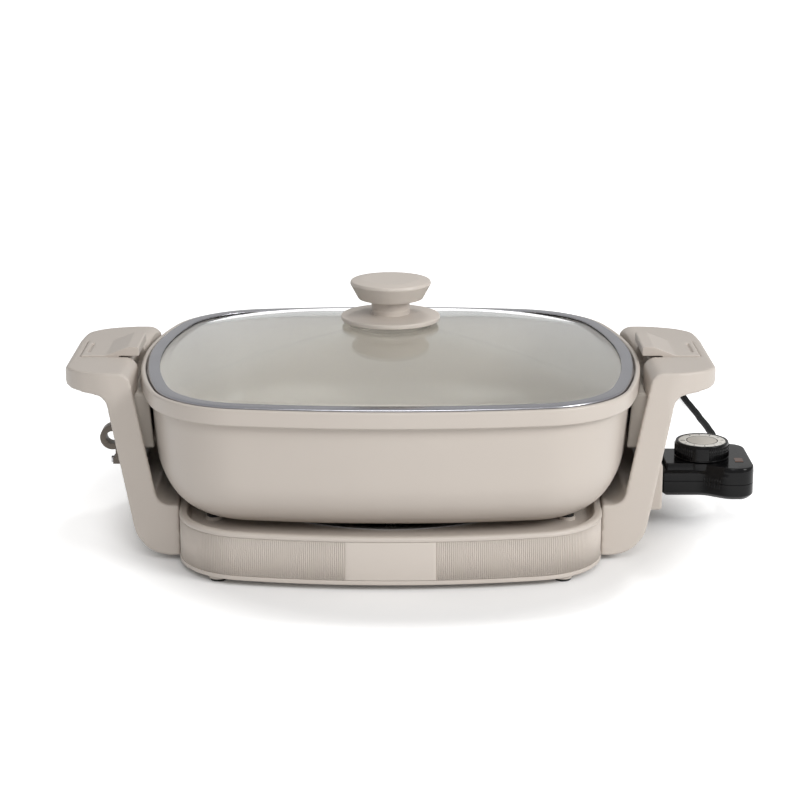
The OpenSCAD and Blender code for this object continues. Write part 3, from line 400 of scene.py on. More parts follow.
def makeMouldGrain():
    # tone drift, roughness drift and the fine grain of a moulded or coated surface
    group, start, end = newGroup(
        "mouldGrain",
        [("Light", "Color", None), ("Dark", "Color", None), ("Smooth", "Float", 0.4), ("Rough", "Float", 0.5),
         ("Grain", "Float", 1200.0)], surfaceOutputs)
    where = group.nodes.new("ShaderNodeTexCoord").outputs["Object"]
    drift = noiseNode(group, where, 14.0, 3.0)
    fine = noiseNode(group, where, start["Grain"], 2.0)
    cloud = noiseNode(group, where, 60.0, 4.0, 0.6)
    mixed = mathNode(group, "ADD", mathNode(group, "MULTIPLY", drift, 0.7),
                     mathNode(group, "MULTIPLY", fine, 0.3))
    return endGroup(group, start, end, mixed, cloud, fine)


def makeBrushed():
    # fine lines along one direction, for sheet metal
    group, start, end = newGroup(
        "brushedLines",
        [("Light", "Color", None), ("Dark", "Color", None), ("Stretch", "Vector", None),
         ("Smooth", "Float", 0.2), ("Rough", "Float", 0.35)], surfaceOutputs)
    where = group.nodes.new("ShaderNodeTexCoord").outputs["Object"]
    scaled = vectorNode(group, "MULTIPLY", where, start["Stretch"])
    lines = noiseNode(group, scaled[0], 1.0, 3.0, 0.6)
    return endGroup(group, start, end, lines, lines, lines)


mouldGrain = makeMouldGrain()
brushedLines = makeBrushed()


def newLook(name, plain):
    look = bpy.data.materials.new(name)
    look.use_nodes = True
    shader = look.node_tree.nodes["Principled BSDF"]
    for label, value in plain.items():
        shader.inputs[label].default_value = value
    return look, look.node_tree, shader


def groupLook(name, group, light, dark, values, plain, bump, bumpDepth):
    look, tree, shader = newLook(name, plain)
    node = tree.nodes.new("ShaderNodeGroup")
    node.node_tree = group
    for label, value in {"Light": tint(*light), "Dark": tint(*dark), **values}.items():
        node.inputs[label].default_value = value
    made = node.outputs
    relief = addNode(tree, "ShaderNodeBump",
                     {"Strength": bump, "Distance": bumpDepth, "Height": made["Height"]})
    tree.links.new(made["Color"], shader.inputs["Base Color"])
    tree.links.new(made["Roughness"], shader.inputs["Roughness"])
    tree.links.new(relief["Normal"], shader.inputs["Normal"])
    return look


def mould(name, light, dark, smooth, rough, grain=1200.0, bump=0.12, **plain):
    values = {"Smooth": smooth, "Rough": rough, "Grain": grain}
    return groupLook(name, mouldGrain, light, dark, values, plain, bump, 0.0001)


def metal(name, light, dark, stretch, smooth, rough, bump=0.05):
    values = {"Smooth": smooth, "Rough": rough, "Stretch": stretch}
    return groupLook(name, brushedLines, light, dark, values, {"Metallic": 1.0}, bump, 0.00005)


def shine(level):
    return {"Specular IOR Level": level}


looks = {
    "greige": mould("greigePlastic", (200, 191, 182), (196, 187, 178), 0.38, 0.46, 1300.0, 0.08),
    # the bands, their ribs and the plaque take the greige plastic painted a little lighter: painted light
    # that offsets the shade cast between the ribs
    "band": mould("bandPlasticPaintedLighter", (207, 198, 189), (203, 194, 185), 0.42, 0.5, 1300.0, 0.08),
    "panOut": mould("panCoat", (200, 191, 182), (196, 187, 178), 0.34, 0.4, 900.0, 0.05),
    "panIn": mould("panInside", (204, 197, 189), (198, 191, 183), 0.3, 0.4, 900.0, 0.05,
                   **{"Coat Weight": 0.2}),
    "liner": mould("palePlastic", (206, 198, 188), (200, 192, 182), 0.5, 0.6),
    "gloss": mould("blackGloss", (13, 13, 14), (10, 10, 11), 0.14, 0.22, 700.0, 0.01, **shine(0.2)),
    "matt": mould("blackMatt", (34, 34, 36), (27, 27, 29), 0.5, 0.62, 1200.0, 0.2, **shine(0.3)),
    "rubber": mould("footRubber", (30, 29, 28), (22, 21, 21), 0.6, 0.75, 900.0, 0.25),
    "gasket": mould("sealRubber", (58, 55, 52), (48, 45, 43), 0.6, 0.7),
    "cord": mould("cordJacket", (23, 23, 24), (16, 16, 17), 0.6, 0.72, 1500.0, 0.2, **shine(0.06)),
    "bronze": mould("clipPlastic", (118, 108, 98), (104, 95, 86), 0.35, 0.45),
    "ceramic": mould("whiteCeramic", (226, 220, 208), (214, 207, 194), 0.5, 0.65, 800.0, 0.15),
    "dial": mould("dialBlack", (12, 12, 13), (9, 9, 10), 0.16, 0.24, 700.0, 0.01, **shine(0.2)),
    "amber": mould("amberLens", (92, 56, 34), (80, 48, 28), 0.14, 0.22, 900.0, 0.02),
    "strip": metal("steelStrip", (184, 184, 189), (160, 160, 166), (40.0, 40.0, 2500.0), 0.18, 0.3),
    "screw": metal("screwSteel", (205, 205, 208), (176, 176, 180), (600.0, 600.0, 600.0), 0.2, 0.34),
    "shield": metal("shieldSheet", (208, 208, 210), (184, 184, 187), (30.0, 900.0, 30.0), 0.25, 0.4),
    "sheath": metal("elementSheath", (104, 96, 90), (70, 64, 60), (300.0, 300.0, 300.0), 0.4, 0.6, 0.2),
    "brass": metal("contactBrass", (222, 196, 132), (196, 168, 106), (500.0, 500.0, 500.0), 0.22, 0.36),
    "silver": mould("dialSilver", (208, 203, 194), (202, 197, 188), 0.36, 0.46, 1500.0, 0.05, Metallic=0.15),
    "scale": mould("dialScale", (234, 232, 226), (228, 226, 220), 0.36, 0.46, 1500.0, 0.05, Metallic=0.1),
}


def clearGlass(name, colour, ior, shade):
    # lamps shine through it, so what lies behind is lit
    look, tree, shader = newLook(name, {"Base Color": colour, "Transmission Weight": 1.0, "IOR": ior,
                                        "Roughness": 0.0, "Metallic": 0.0})
    ray = tree.nodes.new("ShaderNodeLightPath")
    tree.links.new(spread(tree, ray.outputs["Is Shadow Ray"], 1.0, shade), shader.inputs["Alpha"])
    return look


looks["glass"] = clearGlass("lidGlass", tint(234, 236, 234), 1.47, 0.3)
print("looks made,", len(looks))

# cord: the route and coil of the solids, in one run

cordSet = {
    "d": 5.6,
    "sides": 14,
    "lie": 3.8,
    "route": [(250.271, 61, 38), (250.5, 80, 37.5), (252, 98, 35), (254, 114, 32.5), (255.5, 130, 30),
              (257, 155, 26), (258.5, 178, 22.5), (260, 205, 18), (261, 231, 14), (262, 250, 11.5),
              (262.5, 266, 9.5), (262.5, 284, 7.5), (262.5, 300, 6), (262, 320, 4.5), (261, 342, 3.8),
              (257.5, 364, 3.8), (249.5, 385, 3.8), (236.5, 401, 3.8), (219, 411.5, 3.8), (198, 416.5, 3.8),
              (176, 417, 3.8), (156, 417, 3.8)],
    "routeSteps": 4,
    "coilAt": (150, 383),
    "coilR": 34,
    "loops": 2,
    "perLoop": 24,
    "turnGap": 1,
    "layerGap": 0.6,
    "tail": 34,
}


def smoothRoute(points, steps):
    line = []
    n = len(points) - 1
    for i in range(n):
        a, b, c, d = (Vector(points[max(0, min(n, i + k))]) for k in (-1, 0, 1, 2))
        for k in range(steps):
            f = k / steps
            line.append(0.5 * (2 * b + (c - a) * f + (2 * a - 5 * b + 4 * c - d) * f ** 2
                               + (3 * b - a - 3 * c + d) * f ** 3))
    return line + [Vector(points[n])]


def cordPath(s):
    # the coil winds inwards over its first half and, a layer higher, out again
    half = s["loops"] * 180
    x, y = s["coilAt"]
    line = smoothRoute(s["route"], s["routeSteps"])[:-1]
    for i in range(s["loops"] * s["perLoop"] * 2 + 1):
        a = 180 * i / s["perLoop"]
        r = s["coilR"] - (s["d"] + s["turnGap"]) * min(a, 2 * half - a) / 360
        high = (s["d"] + s["layerGap"]) * ease(a, half - 90, half + 90)
        line.append(Vector((x - r * sin(radians(a)), y + r * cos(radians(a)), s["lie"] + high)))
    end = line[-1]
    line += [end - Vector((k, 0, 0)) for k in (s["d"], s["tail"] / 2, s["tail"])]
    return line


def makeCord(s):
    path = cordPath(s)
    section = circlePoints(s["d"] / 2, s["sides"])
    rings = []
    for i, p in enumerate(path):
        along = (path[min(i + 1, len(path) - 1)] - path[max(i - 1, 0)]).normalized()
        side = along.cross(Vector((0, 0, 1))).normalized()
        up = side.cross(along)
        rings.append([tuple(p + a * up + b * side) for a, b in section])
    piece = softShade(loftPiece("mainsCord", rings), 60)
    place(piece, "controller", looks["cord"], ("power_cord", "cord_coil"))
    length = sum((b - a).length for a, b in zip(path, path[1:])) * mm
    return piece, path, length


mainsCord, cordLine, cordLength = makeCord(cordSet)
print("cord laid, %.3f m" % cordLength)

# pan

panOutline = (179, 158.5, 75, 11, 7)
panSet = {"bottom": 37, "rim": 127, "wall": 3.5, "bottomR": 40, "arcSteps": 18, "draft": 4.7, "band": 11.3,
          "bandOut": 3.5, "tuck": 2.4, "ledge": 5, "ledgeW": 3.8,
          "edgeR": {"tuck": 0.8, "bandLow": 1.0, "rimOut": 1.5, "rimIn": 1.2, "seat": 0.5, "ledge": 0.6}}


def panProfile(s):
    bandLow = s["rim"] - s["band"]
    middle = s["bottom"] + s["bottomR"]
    slope = radians(s["draft"])
    foot = middle - s["bottomR"] * sin(slope)
    seat = -s["bandOut"]
    tuck = seat - s["tuck"]
    t0 = tuck - (bandLow - foot) * tan(slope) - s["bottomR"] * cos(slope)

    def arc(r):
        turns = [radians(-90 + (90 - s["draft"]) * k / s["arcSteps"]) for k in range(s["arcSteps"] + 1)]
        return [(t0 + r * cos(a), middle + r * sin(a)) for a in turns]
    ledge = s["rim"] - s["ledge"]
    inner = seat - s["ledgeW"]
    r = s["edgeR"]
    rim = roundLine([(tuck - 0.25, bandLow - 3, 0), (tuck, bandLow, r["tuck"]), (0, bandLow, r["bandLow"]),
                     (0, s["rim"], r["rimOut"]), (seat, s["rim"], r["rimIn"]), (seat, ledge, r["seat"]),
                     (inner, ledge, r["ledge"]), (inner - 0.3, ledge - 3, 0)], 5)
    return arc(s["bottomR"]) + rim + list(reversed(arc(s["bottomR"] - s["wall"])))


def makePan(s):
    piece = loftPiece("panBody", outlineRings(panOutline, panProfile(s)))
    floorIn = s["bottom"] + s["wall"]
    ledge = s["rim"] - s["ledge"]
    for f in piece.data.polygons:
        x, y, z = f.center / mm
        upward = f.normal.z > 0.05 and z < s["rim"] - 1.5
        inward = Vector((x, y, 0)).dot(f.normal) < 0 and floorIn - 0.5 < z < ledge - 0.2
        f.material_index = 1 if upward or inward else 0
    softShade(piece, 50)
    place(piece, "pan", [looks["panOut"], looks["panIn"]], ("pan",))


makePan(panSet)
print("pan made")

# lid: glass, steel strip, knob and flange

lidSet = {"edgeZ": 123.5, "glass": 3.6, "rise": 26, "fall": 1.75, "edge": [1.0, 0.985, 0.965], "flat": 0.943,
          "hole": 0.024, "rings": 30, "strip": 1.0, "stripW": 9, "under": 0.5, "clear": 0.1, "seat": -4.3,
          "ledge": 122.3, "foot": -6.9}
# beads are set out from the neck's foot, the head from the edge of the knob's top
knobSet = {"z": 158.3, "h": 25.5, "d": 58.7, "neck": 27.6, "flangeZ": 153.9, "flange": 71.8, "flangeH": 4.4,
           "bore": 2.6, "nut": 5, "grip": 0.44, "under": 6,
           "beads": [(0.15, 0, 0), (0.15, 1.5, 0.2), (-0.1, 1.7, 0.1), (0.1, 2, 0.1), (0.1, 3.6, 0.2),
                     (-0.15, 3.8, 0.1), (0, 4.1, 0.1)],
           "head": [(-0.1, -3.4, 1.2), (-0.9, -1.3, 1.2), (-9, 0, 8)]}


def domeRings(s, lift):
    # the glass is flat near its edge and rises from there to the knob
    inward = [s["flat"] - (s["flat"] - s["hole"]) * k / s["rings"] for k in range(s["rings"] + 1)]
    outline = bowedOutline(panOutline, s["seat"] - s["strip"] - s["clear"])
    rings = []
    for share in s["edge"] + inward:
        rise = s["rise"] * (1 - min(share / s["flat"], 1) ** s["fall"])
        rings.append([(x * share, y * share, s["edgeZ"] + lift + rise) for x, y in outline])
    return rings


def makeLid(s):
    top = domeRings(s, s["glass"])
    under = domeRings(s, 0)
    glass = softShade(loftPiece("lidDome", top + list(reversed(under)), True), 50)
    place(glass, "lid", looks["glass"], ("lid_glass",))
    high = s["edgeZ"] + s["glass"] + s["clear"]
    low = s["edgeZ"] - s["clear"]
    outer = s["seat"]
    inner = outer - s["stripW"]
    slot = outer - s["strip"]
    line = roundLine([(outer, s["ledge"], 0.4), (outer, high + s["strip"], 1.3),
                      (inner, high + s["strip"], 0.45), (inner, high, 0.4), (slot, high, 0), (slot, low, 0),
                      (inner, low, 0), (inner, low - s["under"], 0), (s["foot"], s["ledge"], 0)], 4, True)
    strip = softShade(loftPiece("lidStrip", outlineRings(panOutline, line), True), 35)
    place(strip, "lid", looks["strip"], ("lid_rim",))


def makeKnob(s):
    top = s["z"] + s["h"]
    r = s["d"] / 2
    neck = s["neck"] / 2
    bore = s["bore"]
    grip = s["z"] + s["h"] * s["grip"]
    line = [(bore, s["z"], 0)]
    line += [(neck + out, s["z"] + up, edge) for out, up, edge in s["beads"]]
    line += [(neck, grip, 0.6), (r - s["under"], grip, 0.7)]
    line += [(r + out, top + up, edge) for out, up, edge in s["head"]]
    line = roundLine(line + [(0, top, 0)], 6) + [(0, top - s["nut"]), (bore, top - s["nut"]), (bore, s["z"])]
    place(softShade(lathePiece("knobGrip", line), 45), "lid", looks["greige"], ("knob",))
    low = s["flangeZ"]
    high = low + s["flangeH"]
    f = s["flange"] / 2
    line = roundLine([(bore, low, 0), (f - 0.4, low, 0.6), (f, high - 1.2, 1.1), (neck + 3, high, 3),
                      (bore, high, 0)], 5) + [(bore, low)]
    flange = softShade(lathePiece("knobFlange", line), 40)
    place(flange, "lid", looks["greige"], ("knob_base",))


makeLid(lidSet)
makeKnob(knobSet)
print("lid and knob made")

# base housing, ribbed bands, pads and feet

baseOutline = (150.1, 149.6, 54, 3, 9)
baseSet = {"low": 4.2, "top": 38, "dish": 33, "floor": 2.5, "bandLow": 7.4, "bandHigh": 34.8, "bandIn": 1.6,
           "wall": 3, "lip": 6, "hole": 113.6, "holeEdge": 0.6,
           "edgeR": {"low": 1.1, "band": 0.4, "top": 2.1, "inner": 1.8, "dish": 1.6},
           "blockHole": {"x": (139.5, 152), "y": (-20.1, 20.1), "z": (19.6, 30.3)}}
bandSet = {"face": -1.0, "back": -1.5, "step": 3, "pitch": 1.4, "ribR": 0.52, "ribFace": -0.3, "plaque": 62,
           "plaqueGap": 0.4, "plaqueEdge": 0.0003, "gap": 0.1, "end": 0.97}
padSet = {"d": 10, "low": 35.2, "high": 36.7, "boss": 12, "bossLow": 31.75,
          "at": [(x, y) for x in (-122.325, 122.325) for y in (-92.092, 92.092)]}
footSet = {"d": 12, "h": 1.89, "stem": 5, "stemTop": 7.7,
           "at": [(x, y) for x in (-117.609, 117.609) for y in (-124.341, 124.341)]}


def makeBase(s):
    inside = -s["bandIn"] - s["wall"]
    under = s["dish"] - s["floor"]
    lip = -s["lip"]
    r = s["edgeR"]
    line = roundLine([
        (lip - 3, under, 0), (inside, under - 2, 0), (inside, s["low"], 0), (0, s["low"], r["low"]),
        (0, s["bandLow"], r["band"]), (-s["bandIn"], s["bandLow"], 0), (-s["bandIn"], s["bandHigh"], 0),
        (0, s["bandHigh"], r["band"]), (0, s["top"], r["top"]), (lip + 0.6, s["top"], r["inner"]),
        (lip - 2, s["dish"], r["dish"]), (lip - 8, s["dish"], 0)], 6)
    rings = outlineRings(baseOutline, line)
    turns = [atan2(y, x) for x, y in bowedOutline(baseOutline, lip)]
    hole = s["hole"]
    edge = s["holeEdge"]
    for away, z in ((hole + edge, s["dish"]), (hole, s["dish"] - edge), (hole, under)):
        rings.append([(away * cos(a), away * sin(a), z) for a in turns])
    piece = loftPiece("baseHousing", rings, True)
    # the terminal block shows through the right side
    block = s["blockHole"]
    joinCut(piece, [("DIFFERENCE", prism("blockHole", boxLine(block["y"], block["z"]), "x", *block["x"]))])
    softShade(piece, 35)
    place(piece, "base", looks["greige"], ("base_shell",))


def frontLine(t, low, high, step):
    # points along the front of the base outline, by distance from its middle
    d, r = baseOutline[1:3]
    cx, cy, sideR, frontR, a, b = outlineArcs(baseOutline)
    run = frontR * (pi / 2 - b)
    points = []
    count = max(2, round((high - low) / step) + 1)
    for i in range(count):
        s = low + (high - low) * i / (count - 1)
        if abs(s) < run:
            k = pi / 2 - abs(s) / frontR
            x, y = (frontR + t) * cos(k), d - frontR + (frontR + t) * sin(k)
        else:
            k = b - (abs(s) - run) / r
            x, y = cx + (r + t) * cos(k), cy + (r + t) * sin(k)
        points.append((x if s > 0 else -x, -y))
    return points


def bandReach():
    cx, cy, sideR, frontR, a, b = outlineArcs(baseOutline)
    return frontR * (pi / 2 - b) + baseOutline[2] * (b - a) * bandSet["end"]


def makeRibTree():
    # an upright rod on every point of a mesh
    tree, start, end = newGroup(
        "bandRibs",
        [("Geometry", "Geometry", None), ("Radius", "Float", None), ("Height", "Float", None),
         ("Look", "Material", None)], [("Geometry", "Geometry")], "GeometryNodeTree")
    rod = addNode(tree, "GeometryNodeMeshCylinder",
                  {"Vertices": 10, "Radius": start["Radius"], "Depth": start["Height"]})
    soft = addNode(tree, "GeometryNodeSetShadeSmooth", {"Geometry": rod["Mesh"]})
    spots = addNode(tree, "GeometryNodeInstanceOnPoints",
                    {"Points": start["Geometry"], "Instance": soft["Geometry"]})
    real = addNode(tree, "GeometryNodeRealizeInstances", {"Geometry": spots["Instances"]})
    dress = addNode(tree, "GeometryNodeSetMaterial",
                    {"Geometry": real["Geometry"], "Material": start["Look"]})
    tree.links.new(dress["Geometry"], end["Geometry"])
    return tree


ribTree = makeRibTree()


def growRibs(name, spots, radius, height, look):
    # an upright rib at each spot
    ribs = meshPiece(name, spots, [])
    values = {"Radius": radius * mm, "Height": height * mm, "Look": look}
    modifier = ribs.modifiers.new("grow", "NODES")
    modifier.node_group = ribTree
    for item in ribTree.interface.items_tree:
        if item.item_type == "SOCKET" and item.in_out == "INPUT" and item.name in values:
            modifier[item.identifier] = values[item.name]
    return plainMesh(ribs)


def makeBand(name, node, s, plaque, turn):
    reach = bandReach()
    low = baseSet["bandLow"] + s["gap"]
    high = baseSet["bandHigh"] - s["gap"]

    def slab(label, face, back, half, bottom, top):
        loop = frontLine(face, -half, half, s["step"])
        loop += reversed(frontLine(back, -half, half, s["step"]))
        return loftPiece(label, [[(x * turn, y * turn, z) for x, y in loop] for z in (bottom, top)])
    body = softShade(slab(name, s["face"], s["back"], reach, low, high), 30)
    spots = []
    for side in (-1, 1):
        count = int((reach - plaque / 2 - s["pitch"]) / s["pitch"])
        for i in range(count):
            at = side * (plaque / 2 + s["pitch"] * (i + 0.5))
            x, y = frontLine(s["ribFace"] - s["ribR"], at, at, 1)[0]
            spots.append((x * turn, y * turn, (low + high) / 2))
    ribs = growRibs(name + "Ribs", spots, s["ribR"], high - low, looks["band"])
    place(body, "base", looks["band"], (node,))
    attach(ribs, "base")
    if plaque:
        half = plaque / 2 - s["plaqueGap"]
        plate = slab(name + "Plaque", s["ribFace"], s["back"] + 0.2, half, low + s["gap"], high - s["gap"])
        bevelled(plate, s["plaqueEdge"], 2)
        place(softShade(plate, 30), "base", looks["band"], ())


def latheEach(name, points, spots, steps):
    line = roundLine(points, steps)
    return softShade(joinMeshes(name, [lathePiece("single", line, p, 48) for p in spots]), 40)


def makePads(s):
    r = s["d"] / 2
    pads = latheEach("panPads", [(0, s["low"], 0), (r, s["low"], 0), (r, s["high"], 0.7), (0, s["high"], 0)],
                     s["at"], 5)
    place(pads, "base", looks["rubber"], ("pan_pads",))
    r = s["boss"] / 2
    bosses = latheEach("padBosses", [(0, s["bossLow"], 0), (r, s["bossLow"], 0), (r, s["low"], 0.6),
                                     (0, s["low"], 0)], s["at"], 4)
    place(bosses, "base", looks["greige"], ())


def makeFeet(s):
    r = s["d"] / 2
    stem = s["stem"] / 2
    feet = latheEach("standFeet", [(0, 0, 0), (r - 0.4, 0, 0.6), (r, s["h"], 0.3), (stem, s["h"], 0),
                                   (stem, s["stemTop"], 0.6), (0, s["stemTop"], 0)], s["at"], 4)
    place(feet, "base", looks["rubber"], ("feet",))


makeBase(baseSet)
makeBand("frontBand", "front_band", bandSet, bandSet["plaque"], 1)
makeBand("rearBand", "rear_band", bandSet, 0, -1)
makePads(padSet)
makeFeet(footSet)
print("base made")

# arms with their latches, cut from prisms and then softened like mouldings

# plan: height, radius of the front's inward turn, and how far the front is set out
armSet = {"in": 183.3, "top": 131.5, "tip": 229.5, "tipT": 13.2, "legTop": 114.5, "legOutTop": 198.5,
          "legOutLow": 175.1, "legInLow": 162.3, "footX": 150.2, "low": 4.2, "footTop": 39.5, "footIn": 8,
          "topHalf": 72, "lowHalf": 88, "tipHalf": 61, "tipR": 28, "wall": 3, "clear": 2.5, "rimLow": 112.7,
          "hollow": (48, 113.5), "hollowIn": 141, "root": 130, "voxel": 0.0011, "passes": 4,
          "edgeR": {"in": 9, "tip": 4, "armpit": 9, "low": 26, "foot": 10},
          "plan": [(0, 4, 40), (94, 4, 40), (95, 4, 0), (105, 25, 0), (114.5, 40, 0), (140, 38, 0)]}
pocketSet = {"recess": (170, 186), "recessLow": 115, "x": (185.9, 221.8), "half": 23.8, "floor": 127.5,
             "stem": (192.5, 206.6), "stemHalf": 5.3, "bayIn": 187.4, "bayOut": 211.3, "bayTop": 124.5,
             "bayHalf": 34}
tunnelSet = {"x": (135, 230), "half": 23.3, "z": (19.2, 45.8)}
leanSet = {"reach": 7.5, "tipShare": 0.3, "y": (26, 66), "z": (108, 117)}
linerSet = {"half": 58, "z": (73.5, 113.2), "gap": 1.8, "edge": 0.0018, "across": 28}
mouldSet = {"latch": (0.0005, 4), "shroud": (0.0008, 5), "clipEdge": 0.0008}
# cutters reach past the arm to these sizes
pastArm = {"x": 260, "y": 100, "z": 150}


def legOut(z):
    low = (armSet["low"], armSet["legOutLow"])
    return between(z, low, (armSet["legTop"], armSet["legOutTop"]))


def taperLine(s, inset):
    low = s["lowHalf"] - inset
    top = s["topHalf"] - inset
    return [(-low, s["low"]), (low, s["low"]), (top, s["top"]), (-top, s["top"])]


def planRing(s, z, turn, out):
    # plan of arm and handle at a height: the front turns inwards over a wide arc, then round the tip
    def half(h):
        return between(h, (s["low"], s["lowHalf"]), (s["top"], s["topHalf"]))
    front = half(z) + 0.1 + out
    root = half(s["legTop"])
    x0 = s["legOutTop"] - 2
    x = x0 + max(0, root - front) * (s["tip"] - x0) / (root - s["tipHalf"])
    line = [(s["root"], -front, 0), (x, -front, turn), (s["tip"], -s["tipHalf"], s["tipR"])]
    line += [(x, -y, r) for x, y, r in reversed(line)]
    return [(x, y, z) for x, y in roundLine(line, 16, True)]


def armCutters(s, right):
    p = pocketSet
    low, high = s["hollow"]
    thin = s["wall"]
    hollow = prism("hollow", [(s["hollowIn"], low), (legOut(low) - thin, low), (legOut(high) - thin, high),
                              (s["hollowIn"], high)], "y", -s["lowHalf"], s["lowHalf"])
    joinCut(hollow, [("INTERSECT", prism("inner", taperLine(s, thin + 1), "x", 0, pastArm["x"]))])
    roof = s["legTop"] + thin
    bay = [(p["bayIn"], high - 2), (legOut(high) - thin, high - 2), (s["legOutTop"], roof),
           (p["bayOut"], roof + 2), (p["bayOut"], p["bayTop"]), (p["bayIn"], p["bayTop"])]
    across = (-p["half"], p["half"])
    stem = boxLine(p["stem"], (-p["stemHalf"], p["stemHalf"]))
    cuts = [("INTERSECT", prism("taper", taperLine(s, 0), "x", 0, pastArm["x"])),
            ("INTERSECT", loftPiece("plan", [planRing(s, *k) for k in s["plan"]]))]
    tools = [prism("beside", bowedOutline(baseOutline, 0.1), "z", 0, s["footTop"] + 0.5),
             prism("rimSide", bowedOutline(panOutline, s["clear"]), "z", s["rimLow"], pastArm["z"]),
             hollow,
             prism("bay", bay, "y", -p["bayHalf"], p["bayHalf"]),
             prism("pocket", boxLine(p["x"], across), "z", p["floor"], pastArm["z"]),
             prism("recess", boxLine(p["recess"], across), "z", p["recessLow"], pastArm["z"]),
             prism("stemSlot", stem, "z", p["bayTop"] - 1, p["floor"] + 1)]
    if right:
        half = tunnelSet["half"]
        tools.append(prism("tunnel", boxLine((-half, half), tunnelSet["z"]), "x", *tunnelSet["x"]))
    return cuts + [("DIFFERENCE", tool) for tool in tools]


def leanIn(arm, s):
    # at the back the handle reaches further in, along the pan's rim
    inner = (armSet["in"], 1)
    tip = (armSet["tip"], s["tipShare"])
    for v in arm.data.vertices:
        x, y, z = v.co / mm
        away = abs(x)
        share = between(min(max(away, inner[0]), tip[0]), inner, tip)
        step = s["reach"] * share * ease(y, *s["y"]) * ease(z, *s["z"])
        if step:
            reach = max(away - step, min(away, sideCurve(panOutline, armSet["clear"], y)))
            v.co.x = mm * (reach if x > 0 else -reach)


def makeArm(s, side):
    r = s["edgeR"]
    footX = s["footX"] - s["footIn"]
    edge = roundLine([(s["in"] - 1, s["top"], r["in"]), (s["tip"], s["top"], r["tip"]),
                      (s["tip"], s["top"] - s["tipT"], r["tip"]), (s["legOutTop"], s["legTop"], r["armpit"]),
                      (s["legOutLow"], s["low"], r["low"]), (footX, s["low"], 0), (footX, s["footTop"], 0),
                      (s["legInLow"], s["footTop"], r["foot"])], 14, True)
    arm = prism(side + "ArmMould", edge, "y", -pastArm["y"], pastArm["y"])
    joinCut(arm, armCutters(s, side == "right"))
    if side == "left":
        for v in arm.data.vertices:
            v.co.x = -v.co.x
        fixNormals(arm)
    moulded(arm, s["voxel"], s["passes"])
    leanIn(arm, leanSet)
    place(arm, "base", looks["greige"], (side + "_arm",))


def makeLiner(s, side):
    # the inner panel of an arm: its face keeps the same gap from the pan's bowed wall
    hand = 1 if side == "right" else -1
    bandLow = panSet["rim"] - panSet["band"]
    rings = []
    for z in s["z"]:
        wall = panSet["bandOut"] + panSet["tuck"] + (bandLow - z) * tan(radians(panSet["draft"]))
        back = legOut(z) - armSet["wall"]
        across = [s["half"] * (2 * i / s["across"] - 1) for i in range(s["across"] + 1)]
        line = [(sideCurve(panOutline, s["gap"] - wall, y), y) for y in across]
        line += [(back, s["half"]), (back, -s["half"])]
        rings.append([(hand * x, y, z) for x, y in line])
    liner = bevelled(loftPiece(side + "LinerPanel", rings), s["edge"], 4)
    place(softShade(liner, 35), "base", looks["liner"], (side + "_liner",))


def makeArms(s):
    for side in ("left", "right"):
        makeArm(armSet, side)
        latch = softCopy(side + "_latch", side + "LatchMould", *s["latch"])
        place(latch, side + "_latch", looks["greige"], (side + "_latch",))
        makeLiner(linerSet, side)
    collar = softCopy("probe_shroud", "shroudMould", *s["shroud"])
    place(collar, "base", looks["greige"], ("probe_shroud",))
    clip = bevelCopy("cord_clip", "clipMould", s["clipEdge"], 3)
    place(clip, "base", looks["bronze"], ("cord_clip",))


makeArms(mouldSet)
print("arms made")

# controller

caseSet = {"x": 197.271, "end": 263.271, "neck": 22.5, "neckR": 1.5, "half": 33, "endL": 29, "flare": 8,
           "flareR": 16, "endR": 12, "low": 26.5, "split": 38, "top": 50.5, "bevel": 5,
           "step": (2.6, 2.2, 4.6), "over": 1.4, "foot": 3, "wall": 2.2, "collar": 21.5, "shaft": 3.1,
           "grip": {"count": 7, "x": (227.5, 237.9), "z": (34.2, 41.6), "r": 0.45}}
# strokes: where they start as a share of the plate, and half their width
dialSet = {"at": (228.271, 0), "z": 50.9, "h": 11.8, "d": 40, "flutes": 72, "fluteR": 0.5, "fluteIn": 0.55,
           "skirt": 1.2, "shoulder": 2.2, "plain": (244, 279), "plate": 34.4, "sunk": 0.3, "ring": 0.66,
           "marks": [180 + 30 * k for k in range(11)], "offStroke": (0.72, 0.55), "stroke": (0.79, 0.35),
           "strokeEnd": 0.92}
reliefSet = {"x": 250.271, "z": 38, "start": 31, "end": 61, "r": (4.6, 3.7), "bore": 2.9, "groove": 0.6,
             "grooveW": 1, "slope": 0.35, "ribs": 7, "first": 36, "sides": 32}


def casePlan(s, neckIn, endIn):
    x0 = s["end"] - s["endL"] - s["flare"] + neckIn / 2
    x1 = s["end"] - s["endL"] + s["flare"] + endIn / 2
    neck = s["neck"] - neckIn
    half = s["half"] - endIn
    line = [(s["x"] + neckIn, -neck, s["neckR"]), (x0, -neck, s["flareR"]), (x1, -half, s["flareR"]),
            (s["end"] - endIn, -half, max(s["endR"] - endIn, 0.5))]
    return roundLine(line + [(x, -y, r) for x, y, r in reversed(line)], 10, True)


